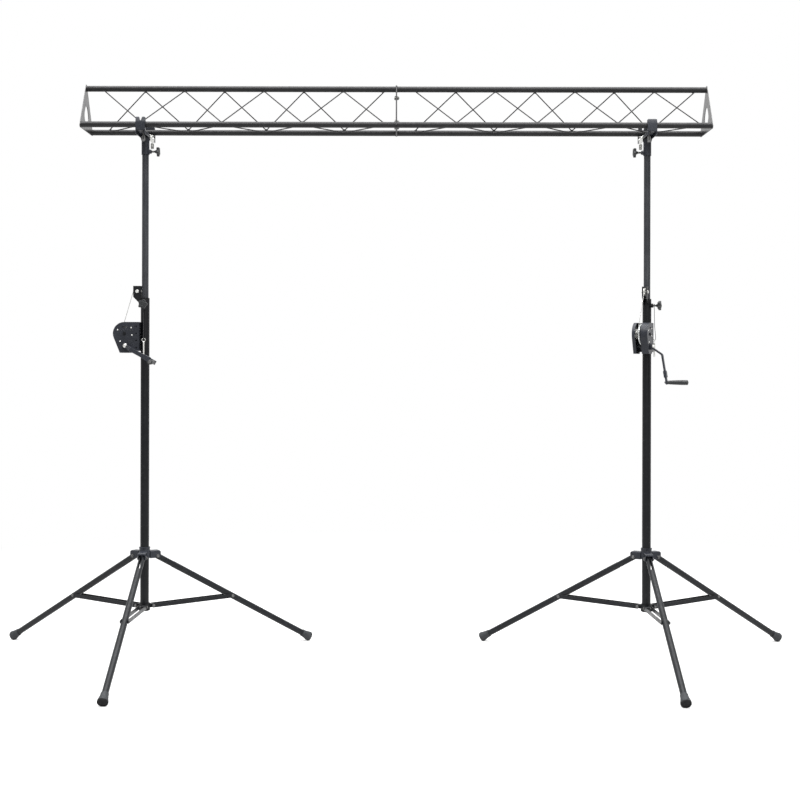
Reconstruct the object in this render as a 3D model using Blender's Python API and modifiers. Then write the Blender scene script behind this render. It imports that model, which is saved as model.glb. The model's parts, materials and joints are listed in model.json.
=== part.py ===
"""Crank lighting stand: two crank-up tripod stands that carry a three metre triangular truss.

Units are metres, +Z is up and the floor is z = 0. The masts stand on the line y = MAST_LINE_Y.
Every stand is modelled about its own mast axis: the winch points towards -X and its crank
towards -Y before the upper part is turned, and the legs point at LEG_AZIMUTHS.
"""

import math

import bmesh
import bpy
from mathutils import Matrix, Vector

# Fits
GAP = 0.0003
WELD = 0.00001
FLAT = math.radians(0.05)
ROUND_SIDES = 18
SMALL_SIDES = 8
LEG_SIDES = 16

# Layout of the set
STAND_X = 1.212
MAST_LINE_Y = 0.2166
LEG_AZIMUTHS = (-90, 30, 150)

# Masts
OUTER_RADIUS = 0.021
OUTER_WALL = 0.00175
CABLE_ROOM = 0.00325
OUTER_FOOT_Z = 0.235
OUTER_TOP_Z = 1.745
BUSH_HEIGHT = 0.040
INNER_RADIUS = OUTER_RADIUS - OUTER_WALL - CABLE_ROOM
INNER_WALL = 0.0015
INNER_FOOT_Z = 1.045
INNER_TOP_Z = 2.530
GUIDE_HEIGHT = 0.025

# Sliding leg hub
HUB_RADIUS = OUTER_RADIUS + 0.006
HUB_FLOOR_Z = 0.490
HUB_TOP_Z = 0.543
POCKET_WIDTH = 0.0385
POCKET_WALL = 0.0036
POCKET_TOP_Z = 0.5245
LEG_PIVOT_RADIUS = OUTER_RADIUS + 0.039
POCKET_REACH = LEG_PIVOT_RADIUS + 0.015
POCKET_ROOT = OUTER_RADIUS - 0.001
POCKET_NOSE = 0.006
LEG_PIVOT_Z = 0.4975
PIVOT_BOLT_RADIUS = 0.004
PIVOT_BOLT_END = 0.003

# Legs
LEG_LENGTH = 0.955
LEG_RADIUS = 0.015
LEG_WALL = 0.0015
LEG_ANGLE = math.radians(59.9)
FORK_CHEEK = 0.004
FORK_DEPTH = 0.028
FORK_LENGTH = 0.095
FORK_LAP = 0.022

# Rubber feet
FOOT_LENGTH = 0.052
FOOT_SOLE = 0.009
FOOT_MOUTH_RADIUS = 0.0182
FOOT_SOLE_RADIUS = 0.0245
FOOT_EDGE = 0.002

# Lower collar and braces
COLLAR_RADIUS = HUB_RADIUS
COLLAR_FLOOR_Z = 0.238
COLLAR_TOP_Z = 0.272
BRACE_PIVOT_RADIUS = OUTER_RADIUS + 0.019
BRACE_PIVOT_Z = 0.258
BRACE_LUG_WIDTH = 0.020
BRACE_LUG_RADIUS = 0.009
BRACE_HEIGHT = 0.020
BRACE_BAR = 0.003
BRACE_ON_LEG = 0.4530
BRACE_BOLT_HEAD = 0.0035

# Pulley at the top of the outer mast
CABLE_RADIUS = 0.0013
BRACKET_PLATE = 0.003
BRACKET_INNER_WIDTH = 0.016
BRACKET_REACH = OUTER_RADIUS + 0.035
BRACKET_CORNER = 0.0008
BRACKET_TOP_Z = 1.803
BRACKET_EDGE_Z = 1.750
BRACKET_FOOT_Z = 1.715
PULLEY_Z = 1.777
PULLEY_WRAP_RADIUS = 0.0195
PULLEY_RIM = 0.010
PULLEY_HUB_RADIUS = 0.009
PULLEY_AXLE_RADIUS = 0.004
PULLEY_HEAD_RADIUS = 0.0085

# Mast knob, its pin and lanyard
MAST_KNOB_Z = 1.713
BOSS_RADIUS = 0.010
BOSS_LAP = 0.004
BOSS_REACH = OUTER_RADIUS + 0.009
KNOB_STEM_RADIUS = 0.005
KNOB_RADIUS = 0.024
KNOB_LOBES = 5
KNOB_LOBE_DEPTH = 0.12
KNOB_THICKNESS = 0.014
KNOB_SEAT = OUTER_RADIUS + 0.034
PIN_RADIUS = 0.00375
PIN_TOP_Z = 1.5335
PIN_LENGTH = 0.068
PIN_SIDES = 12
RING_RADIUS = 0.0083
RING_WIRE_RADIUS = 0.0012
LANYARD_REACH = OUTER_RADIUS + 0.016
LANYARD_RADIUS = 0.0013
LANYARD_HOOK = 0.0058

# Winch
WINCH_HALF_WIDTH = 0.0375
WINCH_SHEET = 0.003
WINCH_ARC_CENTRE = Vector((-OUTER_RADIUS - 0.072, 1.573))
WINCH_ARC_RADIUS = 0.055
WINCH_CORNER = WINCH_ARC_CENTRE - Vector((0.0216, 0.093))
WINCH_FLOOR_END = -OUTER_RADIUS - 0.031
WINCH_HEEL_Z = WINCH_CORNER.y + 0.009
WINCH_HEEL_SLOPE = 0.007
HOUSING_INNER_Y = -0.0035
TRAY_INNER_Y = 0.0225
GEAR_TEETH = 36
PINION_TEETH = 9
GEAR_MODULE = 2 * 0.0472 / 36
GEAR_Y = (0.003, 0.009)
PINION_LEAN = math.radians(6.2)
DRUM_RADIUS = 0.0245
DRUM_FLANGE_RADIUS = 0.040
DRUM_END_Y = 0.0335
DRUM_FLANGE = 0.0025
DRUM_CABLE_Y = 0.016
AXLE_RADIUS = 0.005
SLOT_CENTRE = WINCH_ARC_CENTRE + Vector((0.002, 0.0305))
SLOT_SIZE = (0.022, 0.006)
RIB_LOW = WINCH_ARC_CENTRE + Vector((-0.025, 0.0142))
RIB_HIGH = WINCH_ARC_CENTRE + Vector((0.043, 0.0158))
HOLE_COUNT = 4
HOLE_FIRST = Vector((-OUTER_RADIUS - 0.015, WINCH_HEEL_Z + 0.016))
HOLE_STEP = Vector((0, 0.034))
HOLE_RADIUS = 0.0035

# Crank
CRANK_RADIUS = 0.170
CRANK_ARM_WIDTH = 0.020
CRANK_ARM_THICKNESS = 0.008
CRANK_HUB_REACH = 0.052
CRANK_BEND = Vector((0.094, 0.038))
CRANK_END_REACH = 0.1175
CRANK_CLAMP = (0.115, 0.147)
CRANK_NUT_RADIUS = 0.0095
CRANK_NUT_HEIGHT = 0.012
GRIP_RADIUS = 0.012
GRIP_LENGTH = 0.094
GRIP_SIDES = 16
GRIP_SCREW_RADIUS = 0.008

# Truss
SECTION_LENGTH = 1.5
TRUSS_SECTIONS = 2
TRUSS_LENGTH = TRUSS_SECTIONS * SECTION_LENGTH
CHORD_SPACING = 0.2216
CHORD_RADIUS = 0.014
CHORD_WALL = 0.002
CHORD_SIDES = 16
CHORD_Z = 2.5634
END_PLATE = 0.003
END_PLATE_MARGIN = 0.0015
END_PLATE_CORNER = 0.011
END_WINDOW_REACH = 0.036
END_WINDOW_CORNER = 0.030
VENT_RADIUS = 0.004
WEB_ROD_RADIUS = 0.00275
WEB_FIRST = 0.095
WEB_LAST = 0.0645
WEB_STATIONS = 8
WEB_STEP = (SECTION_LENGTH - WEB_FIRST - WEB_LAST) / (WEB_STATIONS - 1)
WEB_BEND = 0.010

# Head that carries the truss
SLEEVE_RADIUS = INNER_RADIUS + 0.003
SLEEVE_FOOT_Z = 2.437
HEAD_KNOB_Z = 2.452
HEAD_CONE_Z = 2.503
CHANNEL_WIDTH = 0.045
CHANNEL_HEIGHT = 0.020
CHANNEL_WALL = 0.004
CHANNEL_DROP = 0.027
CHANNEL_OVERHANG = 0.0225
HOOK_REACH = 0.024
HOOK_LIP = 0.002
HOOK_TOP = 0.035
HOOK_SLOT = 0.011
HOOK_SLOT_FLOOR = CHORD_RADIUS + 0.0024
HOOK_WRAP = -38
SCREW_OFFSET = 0.012
SCREW_RADIUS = 0.004
SHOE_RADIUS = 0.010
SHOE_THICKNESS = 0.004
SCREW_DROP = 0.054
TAB_SIZE = (0.016, 0.003, 0.028)

# How each stand is turned: upper part, head, and crank arm measured from straight down
STANDS = {
    "left": {"side": -1, "upper": 0, "head": 0, "arm": 62.2},
    "right": {"side": 1, "upper": 66, "head": 180, "arm": 0},
}

FINISHES = {
    "black_paint": ((0.022, 0.023, 0.026), 0.0, 0.42),
    "grey_paint": ((0.060, 0.064, 0.070), 0.0, 0.45),
    "truss_paint": ((0.030, 0.030, 0.033), 0.0, 0.40),
    "zinc": ((0.62, 0.62, 0.60), 1.0, 0.34),
    "rubber": ((0.035, 0.037, 0.040), 0.0, 0.80),
    "black_plastic": ((0.025, 0.026, 0.028), 0.0, 0.50),
    "steel_cable": ((0.55, 0.55, 0.54), 1.0, 0.40),
    "black_cord": ((0.030, 0.030, 0.032), 0.0, 0.80),
}

UPRIGHT = Matrix.Rotation(math.pi / 2, 4, "X")


# ---------------------------------------------------------------- scene and shape helpers


def clear_scene():
    for obj in list(bpy.data.objects):
        bpy.data.objects.remove(obj, do_unlink=True)
    for collection in list(bpy.data.collections):
        bpy.data.collections.remove(collection)


def new_collection(name):
    collection = bpy.data.collections.new(name)
    bpy.context.scene.collection.children.link(collection)
    return collection


def new_finish(name):
    colour, metallic, roughness = FINISHES[name]
    finish = bpy.data.materials.new(name)
    finish.use_nodes = True
    shader = finish.node_tree.nodes["Principled BSDF"]
    shader.inputs["Base Color"].default_value = (*colour, 1)
    shader.inputs["Metallic"].default_value = metallic
    shader.inputs["Roughness"].default_value = roughness
    return finish


def blank(mesh):
    """A construction piece; it becomes a part, or is joined to or cut from one."""
    obj = bpy.data.objects.new("blank", mesh)
    BLANKS.objects.link(obj)
    return obj


def evaluated_mesh(obj):
    bpy.context.view_layer.update()
    graph = bpy.context.evaluated_depsgraph_get()
    return bpy.data.meshes.new_from_object(obj.evaluated_get(graph))


def welded(mesh):
    """Merges loose caps, clears needless edges from flat faces and turns every face outwards."""
    bm = bmesh.new()
    bm.from_mesh(mesh)
    bmesh.ops.remove_doubles(bm, verts=bm.verts, dist=WELD)
    bmesh.ops.dissolve_limit(bm, angle_limit=FLAT, verts=bm.verts, edges=bm.edges)
    bmesh.ops.recalc_face_normals(bm, faces=bm.faces)
    bm.to_mesh(mesh)
    bm.free()
    return mesh


def from_bmesh(bm):
    mesh = bpy.data.meshes.new("blank")
    bm.to_mesh(mesh)
    bm.free()
    return blank(mesh)


def from_object(obj):
    """Replaces a curve or a profile by its welded mesh."""
    mesh = welded(evaluated_mesh(obj))
    bpy.data.objects.remove(obj, do_unlink=True)
    return blank(mesh)


def moved(obj, matrix):
    obj.data.transform(matrix)
    return obj


def turned_about_z(obj, degrees):
    return moved(obj, Matrix.Rotation(math.radians(degrees), 4, "Z"))


def rod(start, end, radius, sides=ROUND_SIDES, end_radius=None):
    start = Vector(start)
    end = Vector(end)
    along = end - start
    bm = bmesh.new()
    bmesh.ops.create_cone(
        bm,
        cap_ends=True,
        segments=sides,
        radius1=radius,
        radius2=radius if end_radius is None else end_radius,
        depth=along.length,
    )
    turn = along.to_track_quat("Z", "Y").to_matrix().to_4x4()
    bmesh.ops.transform(bm, matrix=Matrix.Translation((start + end) / 2) @ turn, verts=bm.verts)
    return from_bmesh(bm)


def clear_bore(radius, sides=SMALL_SIDES):
    """Radius of a many-sided bore whose flats clear a bar of this radius that turns in it."""
    return (radius + GAP) / math.cos(math.pi / sides)


def block(low, high):
    low = Vector(low)
    high = Vector(high)
    bm = bmesh.new()
    bmesh.ops.create_cube(bm, size=1)
    bmesh.ops.scale(bm, vec=high - low, verts=bm.verts)
    bmesh.ops.translate(bm, vec=(low + high) / 2, verts=bm.verts)
    return from_bmesh(bm)


def arc(centre, radius, first, last, steps):
    """Points on an arc, angles in degrees."""
    points = []
    for step in range(steps + 1):
        angle = math.radians(first + (last - first) * step / steps)
        points.append(Vector(centre) + radius * Vector((math.cos(angle), math.sin(angle))))
    return points


def rounded(points, radius, steps=4, closed=True):
    """The path with each corner replaced by an arc of this radius. An open path keeps its two ends."""
    points = [Vector(point) for point in points]
    path = []
    for index, corner in enumerate(points):
        if not closed and index in (0, len(points) - 1):
            path.append(corner)
            continue
        before = (points[index - 1] - corner).normalized()
        after = (points[(index + 1) % len(points)] - corner).normalized()
        half = before.angle(after) / 2
        middle = (before + after).normalized()
        centre = corner + middle * radius / math.sin(half)
        sweep = math.pi / 2 - half
        side = (before - middle * before.dot(middle)).normalized()
        for step in range(steps + 1):
            angle = sweep * (1 - 2 * step / steps)
            path.append(centre - middle * radius * math.cos(angle) + side * radius * math.sin(angle))
    return path


def plate(outlines, thickness, place):
    """A flat outline with any holes, given in its own plane and centred on it."""
    curve = bpy.data.curves.new("outline", "CURVE")
    curve.dimensions = "2D"
    curve.fill_mode = "BOTH"
    curve.extrude = thickness / 2
    for outline in outlines:
        spline = curve.splines.new("POLY")
        spline.points.add(len(outline) - 1)
        for point, place_2d in zip(spline.points, outline):
            point.co = (place_2d[0], place_2d[1], 0, 1)
        spline.use_cyclic_u = True
    obj = bpy.data.objects.new("outline", curve)
    BLANKS.objects.link(obj)
    return moved(from_object(obj), place)


def upright_plate(outlines, low_y, high_y):
    """A plate whose outline is given as (x, z), between two values of y."""
    place = Matrix.Translation((0, (low_y + high_y) / 2, 0)) @ UPRIGHT
    return plate(outlines, high_y - low_y, place)


def turned(profile, sides, place=None):
    """A closed or axis-to-axis profile of (radius, height), turned about Z."""
    mesh = bpy.data.meshes.new("profile")
    points = [(radius, 0, height) for radius, height in profile]
    edges = [(index, index + 1) for index in range(len(points) - 1)]
    if profile[0][0] > 0:
        edges.append((len(points) - 1, 0))
    mesh.from_pydata(points, edges, [])
    obj = blank(mesh)
    screw = obj.modifiers.new("turn", "SCREW")
    screw.steps = sides
    screw.render_steps = sides
    screw.use_merge_vertices = True
    screw.merge_threshold = WELD
    return moved(from_object(obj), place or Matrix())


def tube(points, radius):
    """A solid round bar along a path."""
    curve = bpy.data.curves.new("path", "CURVE")
    curve.dimensions = "3D"
    curve.bevel_depth = radius
    curve.bevel_resolution = 2
    curve.use_fill_caps = True
    spline = curve.splines.new("POLY")
    spline.points.add(len(points) - 1)
    for point, place in zip(spline.points, points):
        point.co = (*place, 1)
    obj = bpy.data.objects.new("path", curve)
    BLANKS.objects.link(obj)
    return from_object(obj)


def smooth(route, steps):
    """Points on the Catmull-Rom curve through a route."""
    route = [Vector(point) for point in route]
    ends = [2 * route[0] - route[1], *route, 2 * route[-1] - route[-2]]
    points = []
    for index in range(1, len(ends) - 2):
        before, start, stop, after = ends[index - 1 : index + 3]
        for step in range(steps):
            t = step / steps
            points.append(
                start
                + 0.5 * t * (stop - before)
                + t * t * (before - 2.5 * start + 2 * stop - 0.5 * after)
                + t * t * t * (1.5 * (start - stop) + 0.5 * (after - before))
            )
    points.append(route[-1])
    return points


def combined(base, others, operation):
    for other in others:
        modifier = base.modifiers.new(operation, "BOOLEAN")
        modifier.operation = operation
        modifier.object = other
    mesh = evaluated_mesh(base)
    base.modifiers.clear()
    base.data = mesh
    for other in others:
        bpy.data.objects.remove(other, do_unlink=True)
    return base


def joined(base, *others):
    return combined(base, others, "UNION")


def cut(base, *others):
    return combined(base, others, "DIFFERENCE")


def at_each_leg(make):
    """Copies of a construction piece at the leg azimuths."""
    return [turned_about_z(make(), azimuth) for azimuth in LEG_AZIMUTHS]


def pivot(name, location, parent=None, turn_z=0):
    empty = bpy.data.objects.new(name, None)
    empty.empty_display_size = 0.03
    empty.location = location
    empty.rotation_euler = (0, 0, math.radians(turn_z))
    empty.parent = parent
    PARTS.objects.link(empty)
    return empty


def part(name, piece, finish, parent=None, location=(0, 0, 0), rotation=(0, 0, 0)):
    """Places a finished piece, or another copy of its mesh, as a named sub-part."""
    obj = bpy.data.objects.new(name, piece.data)
    if not piece.data.materials:
        piece.data.materials.append(FINISH[finish])
        piece.data.shade_smooth()
        piece.data.set_sharp_from_angle(angle=math.radians(30))
    obj.parent = parent
    obj.location = location
    obj.rotation_euler = rotation
    PARTS.objects.link(obj)
    return obj


# ---------------------------------------------------------------- masts


def outer_mast(upper_turn):
    """Lower mast tube with its brace collar, knob boss, pulley bracket and guide bush."""
    mast = rod((0, 0, OUTER_FOOT_Z), (0, 0, OUTER_TOP_Z), OUTER_RADIUS)
    collar = rod((0, 0, COLLAR_FLOOR_Z), (0, 0, COLLAR_TOP_Z), COLLAR_RADIUS)
    upper = [turned_about_z(piece, upper_turn) for piece in (*pulley_bracket(), knob_boss())]
    mast = joined(mast, collar, *at_each_leg(brace_lug), *upper)
    bush_floor = OUTER_TOP_Z - BUSH_HEIGHT
    bore = rod((0, 0, OUTER_FOOT_Z - 0.01), (0, 0, bush_floor), OUTER_RADIUS - OUTER_WALL)
    bush_bore = rod((0, 0, bush_floor - 0.001), (0, 0, BRACKET_TOP_Z + 0.01), INNER_RADIUS + GAP)
    cable_x = PULLEY_WRAP_RADIUS - PULLEY_X
    slot = block(
        (cable_x - CABLE_RADIUS - GAP, -CABLE_RADIUS - GAP, bush_floor - 0.001),
        (0, CABLE_RADIUS + GAP, OUTER_TOP_Z + 0.01),
    )
    stem_room = clear_bore(KNOB_STEM_RADIUS, ROUND_SIDES)
    stem_bore = rod((0, -BOSS_REACH - 0.01, MAST_KNOB_Z), (0, 0, MAST_KNOB_Z), stem_room)
    axle_bore = rod(
        (-PULLEY_X, -BRACKET_REACH, PULLEY_Z),
        (-PULLEY_X, BRACKET_REACH, PULLEY_Z),
        clear_bore(PULLEY_AXLE_RADIUS, ROUND_SIDES),
    )
    upper_cuts = [turned_about_z(piece, upper_turn) for piece in (slot, stem_bore, axle_bore)]
    return cut(mast, bore, bush_bore, *at_each_leg(brace_pin_bore), *upper_cuts)


def pulley_bracket():
    """The two cheeks that hold the pulley beside the top of the outer mast."""
    back = -INNER_RADIUS - 2.5 * GAP
    outline = rounded(
        [
            (-BRACKET_REACH, BRACKET_TOP_Z),
            (-BRACKET_REACH, BRACKET_EDGE_Z),
            (-OUTER_RADIUS - 0.001, BRACKET_FOOT_Z),
            (back, BRACKET_FOOT_Z),
            (back, BRACKET_TOP_Z),
        ],
        BRACKET_CORNER,
        steps=2,
    )
    inner = BRACKET_INNER_WIDTH / 2
    outer = inner + BRACKET_PLATE
    return upright_plate([outline], -outer, -inner), upright_plate([outline], inner, outer)


def knob_boss():
    start = -(OUTER_RADIUS - OUTER_WALL / 2)
    return rod((0, start, MAST_KNOB_Z), (0, -BOSS_REACH, MAST_KNOB_Z), BOSS_RADIUS)


def brace_lug():
    """A rounded ear on the lower collar, pointing along +X."""
    low = BRACE_PIVOT_Z - BRACE_LUG_RADIUS
    high = BRACE_PIVOT_Z + BRACE_LUG_RADIUS
    start = OUTER_RADIUS - OUTER_WALL / 2
    outline = [
        Vector((start, low)),
        *arc((BRACE_PIVOT_RADIUS, BRACE_PIVOT_Z), BRACE_LUG_RADIUS, -90, 90, 6),
        Vector((start, high)),
    ]
    return upright_plate([outline], -BRACE_LUG_WIDTH / 2, BRACE_LUG_WIDTH / 2)


def brace_pin_bore():
    place = (BRACE_PIVOT_RADIUS, BRACE_PIVOT_Z)
    return cross_rod(place, -BRACE_LUG_WIDTH, BRACE_LUG_WIDTH, clear_bore(PIVOT_BOLT_RADIUS))


def inner_mast():
    """Upper mast tube; the guide at its foot holds the cable's end in a notch."""
    mast = rod((0, 0, INNER_FOOT_Z), (0, 0, INNER_TOP_Z), INNER_RADIUS)
    guide_radius = OUTER_RADIUS - OUTER_WALL - GAP
    guide = rod((0, 0, INNER_FOOT_Z), (0, 0, INNER_FOOT_Z + GUIDE_HEIGHT), guide_radius)
    mast = joined(mast, guide)
    bore = rod((0, 0, INNER_FOOT_Z - 0.01), (0, 0, INNER_TOP_Z + 0.01), INNER_RADIUS - INNER_WALL)
    cable_x = PULLEY_WRAP_RADIUS - PULLEY_X
    notch = block(
        (-OUTER_RADIUS, -CABLE_RADIUS - GAP, INNER_FOOT_Z - 0.01),
        (cable_x + CABLE_RADIUS + GAP / 2, CABLE_RADIUS + GAP, INNER_FOOT_Z + GUIDE_HEIGHT + 0.01),
    )
    return cut(mast, bore, notch)


# ---------------------------------------------------------------- tripod


def leg_hub():
    """Die-cast slider: a ring with three inverted-U pockets, their bolts and a knob boss."""
    hub = rod((0, 0, HUB_FLOOR_Z), (0, 0, HUB_TOP_Z), HUB_RADIUS)
    boss_z = (HUB_FLOOR_Z + HUB_TOP_Z) / 2
    boss = rod((0, HUB_RADIUS - BOSS_LAP, boss_z), (0, HUB_BOSS_REACH, boss_z), BOSS_RADIUS)
    hub = joined(hub, boss, *at_each_leg(hub_pocket))
    bore = rod((0, 0, POCKET_FLOOR_Z - 0.01), (0, 0, HUB_TOP_Z + 0.01), OUTER_RADIUS + GAP)
    stem_room = clear_bore(KNOB_STEM_RADIUS, ROUND_SIDES)
    stem_bore = rod((0, 0, boss_z), (0, HUB_BOSS_REACH + 0.01, boss_z), stem_room)
    hub = cut(hub, bore, stem_bore, *at_each_leg(hub_pocket_hollow))
    return joined(hub, *at_each_leg(leg_pivot_bolt))


def hub_pocket():
    """The outside of one pocket, pointing along +X, with a rounded nose."""
    low = POCKET_FLOOR_Z
    high = POCKET_TOP_Z
    corners = [(POCKET_ROOT, low), (POCKET_REACH, low), (POCKET_REACH, high), (POCKET_ROOT, high)]
    outline = rounded(corners, POCKET_NOSE, steps=2)
    return upright_plate([outline], -POCKET_WIDTH / 2, POCKET_WIDTH / 2)


def hub_pocket_hollow():
    half = POCKET_WIDTH / 2 - POCKET_WALL
    roof = LEG_PIVOT_Z + FORK_DEPTH / 2 + 2 * GAP
    low = (HUB_RADIUS + POCKET_WALL, -half, POCKET_FLOOR_Z - 0.01)
    return block(low, (POCKET_REACH + 0.01, half, roof))


def leg_pivot_bolt():
    """Bolt across a pocket; its ends stand proud of the cheeks."""
    reach = POCKET_WIDTH / 2 + PIVOT_BOLT_END
    return cross_rod((LEG_PIVOT_RADIUS, LEG_PIVOT_Z), -reach, reach, PIVOT_BOLT_RADIUS)


def leg():
    """One leg along -Z from its pivot: a round tube with a forked upper end."""
    end = LEG_LENGTH - FOOT_SOLE - GAP
    body = rod((0, 0, -FORK_LENGTH), (0, 0, -end), LEG_RADIUS, LEG_SIDES)
    cheek_face = LEG_RADIUS - GAP / 2
    half = FORK_DEPTH / 2
    outline = [
        *arc((0, 0), half, 0, 180, 6),
        Vector((-half, -FORK_LENGTH)),
        Vector((-half / 2, -FORK_LENGTH - FORK_LAP)),
        Vector((half / 2, -FORK_LENGTH - FORK_LAP)),
        Vector((half, -FORK_LENGTH)),
    ]
    cheeks = []
    for side in (-1, 1):
        low, high = sorted((side * cheek_face, side * (cheek_face - FORK_CHEEK)))
        cheeks.append(upright_plate([outline], low, high))
    body = joined(body, *cheeks)
    bore = rod((0, 0, -FORK_LENGTH + 0.01), (0, 0, -end - 0.01), LEG_RADIUS - LEG_WALL, LEG_SIDES)
    bolt_bore = cross_rod((0, 0), -LEG_RADIUS * 2, LEG_RADIUS * 2, clear_bore(PIVOT_BOLT_RADIUS))
    return cut(body, bore, bolt_bore)


def foot():
    """Rubber boot, flared to its sole; the corner that meets the floor is worn flat."""
    top = -LEG_LENGTH + FOOT_LENGTH
    sole = -LEG_LENGTH
    socket = LEG_RADIUS + GAP
    floor = sole + FOOT_SOLE
    profile = [
        (0, floor),
        (socket, floor),
        (socket, top),
        (FOOT_MOUTH_RADIUS, top),
        (FOOT_MOUTH_RADIUS + 0.0005, top - 0.012),
        (FOOT_SOLE_RADIUS - 0.002, sole + 0.016),
        (FOOT_SOLE_RADIUS, sole + 0.009),
        (FOOT_SOLE_RADIUS, sole + FOOT_EDGE),
        (FOOT_SOLE_RADIUS - FOOT_EDGE, sole),
        (0, sole),
    ]
    boot = turned(profile, LEG_SIDES)
    ground = block((-0.1, -0.1, -LEG_PIVOT_Z - 0.1), (0.1, 0.1, -LEG_PIVOT_Z))
    ground.data.transform(Matrix.Translation((LEG_LENGTH * math.sin(LEG_ANGLE), 0, 0)))
    return cut(boot, moved(ground, Matrix.Rotation(LEG_ANGLE, 4, "Y")))


def brace():
    """A pair of flat bars along +X from the collar pin, with bolt heads where they meet the leg."""
    inner = LEG_RADIUS + GAP
    outer = inner + BRACE_BAR
    half = BRACE_HEIGHT / 2
    outline = [*arc((BRACE_LENGTH, 0), half, -90, 90, 4), *arc((0, 0), half, 90, 270, 4)]
    bars = upright_plate([outline], inner, outer)
    other = upright_plate([outline], -outer, -inner)
    reach = outer + BRACE_BOLT_HEAD
    pin_half = outer - BRACE_BAR * 0.4
    pin = rod((0, -pin_half, 0), (0, pin_half, 0), PIVOT_BOLT_RADIUS, SMALL_SIDES)
    heads = []
    for place in (0, BRACE_LENGTH):
        for side in (-1, 1):
            start = (place, side * (outer - BRACE_BAR * 0.6), 0)
            heads.append(rod(start, (place, side * reach, 0), PIVOT_BOLT_RADIUS * 1.7, 6))
    return joined(bars, other, pin, *heads)


# ---------------------------------------------------------------- knobs, pin and lanyard


def star_knob(tip, seat, radius, thickness):
    """Star knob along +Z: a stem from the clamped tube out to a lobed head."""
    points = []
    steps = KNOB_LOBES * 4
    depth = radius * KNOB_LOBE_DEPTH
    for step in range(steps):
        angle = 2 * math.pi * step / steps
        reach = radius - depth + depth * math.cos(KNOB_LOBES * angle)
        points.append(Vector((reach * math.cos(angle), reach * math.sin(angle))))
    head = plate([points], thickness, Matrix.Translation((0, 0, seat + thickness / 2)))
    stem = rod((0, 0, tip), (0, 0, seat + 0.002), KNOB_STEM_RADIUS, SMALL_SIDES)
    neck_radii = (KNOB_STEM_RADIUS * 1.3, KNOB_STEM_RADIUS * 2.2)
    neck = rod((0, 0, seat - 0.008), (0, 0, seat + 0.001), neck_radii[0], SMALL_SIDES, neck_radii[1])
    return joined(head, stem, neck)


def safety_pin():
    """Turned pin hanging from its own split ring."""
    ring_z = PIN_TOP_Z + RING_RADIUS
    profile = []
    for step in range(SMALL_SIDES):
        angle = 2 * math.pi * step / SMALL_SIDES
        reach = RING_RADIUS + RING_WIRE_RADIUS * math.cos(angle)
        profile.append((reach, RING_WIRE_RADIUS * math.sin(angle)))
    ring = turned(profile, 20, Matrix.Translation((0, 0, ring_z)) @ UPRIGHT)
    foot_z = PIN_TOP_Z - PIN_LENGTH
    profile = [
        (0, PIN_TOP_Z + 0.002),
        (PIN_RADIUS * 0.6, PIN_TOP_Z + 0.002),
        (PIN_RADIUS, PIN_TOP_Z - 0.001),
        (PIN_RADIUS, foot_z + 0.003),
        (PIN_RADIUS * 0.45, foot_z),
        (0, foot_z),
    ]
    return joined(turned(profile, PIN_SIDES), ring)


def lanyard():
    """Thin cord looped over the knob's stem and under the pin's ring."""
    loop = KNOB_STEM_RADIUS + LANYARD_RADIUS + 2 * GAP
    ring_top = PIN_TOP_Z + 2 * RING_RADIUS
    hook_z = ring_top - RING_WIRE_RADIUS - LANYARD_RADIUS - 3 * GAP + LANYARD_HOOK
    drop = MAST_KNOB_Z - ring_top
    route = []
    for angle in (-75, -30, 15, 60, 105, 150):
        turn = math.radians(angle)
        slip = 0.0026 * (1 - (angle + 75) / 225)
        route.append((loop * math.cos(turn), slip, MAST_KNOB_Z + loop * math.sin(turn)))
    route += [
        (-loop, 0, MAST_KNOB_Z - drop * 0.025),
        (-loop * 0.53, 0, MAST_KNOB_Z - drop * 0.135),
        (-loop * 0.18, 0, MAST_KNOB_Z - drop * 0.34),
        (0, -0.001, MAST_KNOB_Z - drop * 0.61),
        (0, -LANYARD_HOOK * 0.9, hook_z + 0.012),
    ]
    for angle in (190, 220, 250, 280, 310, 340, 370):
        turn = math.radians(angle)
        route.append((0, LANYARD_HOOK * math.cos(turn), hook_z + LANYARD_HOOK * math.sin(turn)))
    return tube(smooth(route, 2), LANYARD_RADIUS)


# ---------------------------------------------------------------- pulley, winch and crank


def pulley():
    """Grooved wheel on its axle bolt, about +Z."""
    groove = PULLEY_WRAP_RADIUS - CABLE_RADIUS - GAP
    rim = PULLEY_X - INNER_RADIUS - GAP
    half = PULLEY_RIM / 2
    hub_half = BRACKET_INNER_WIDTH / 2 - GAP
    plate_face = BRACKET_INNER_WIDTH / 2 + BRACKET_PLATE
    axle_end = plate_face + 0.002
    profile = [
        (0, axle_end),
        (PULLEY_AXLE_RADIUS, axle_end),
        (PULLEY_AXLE_RADIUS, hub_half),
        (PULLEY_HUB_RADIUS, hub_half),
        (PULLEY_HUB_RADIUS, half),
        (rim, half),
        (rim, half - 0.0012),
        (groove, CABLE_RADIUS * 0.6),
        (groove, -CABLE_RADIUS * 0.6),
        (rim, -half + 0.0012),
        (rim, -half),
        (PULLEY_HUB_RADIUS, -half),
        (PULLEY_HUB_RADIUS, -hub_half),
        (PULLEY_AXLE_RADIUS, -hub_half),
        (PULLEY_AXLE_RADIUS, -axle_end),
        (0, -axle_end),
    ]
    wheel = turned(profile, 20)
    heads = []
    for side in (-1, 1):
        start = (0, 0, side * (plate_face + GAP))
        heads.append(rod(start, (0, 0, side * (plate_face + 0.0055)), PULLEY_HEAD_RADIUS, 6))
    return joined(wheel, *heads)


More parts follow.
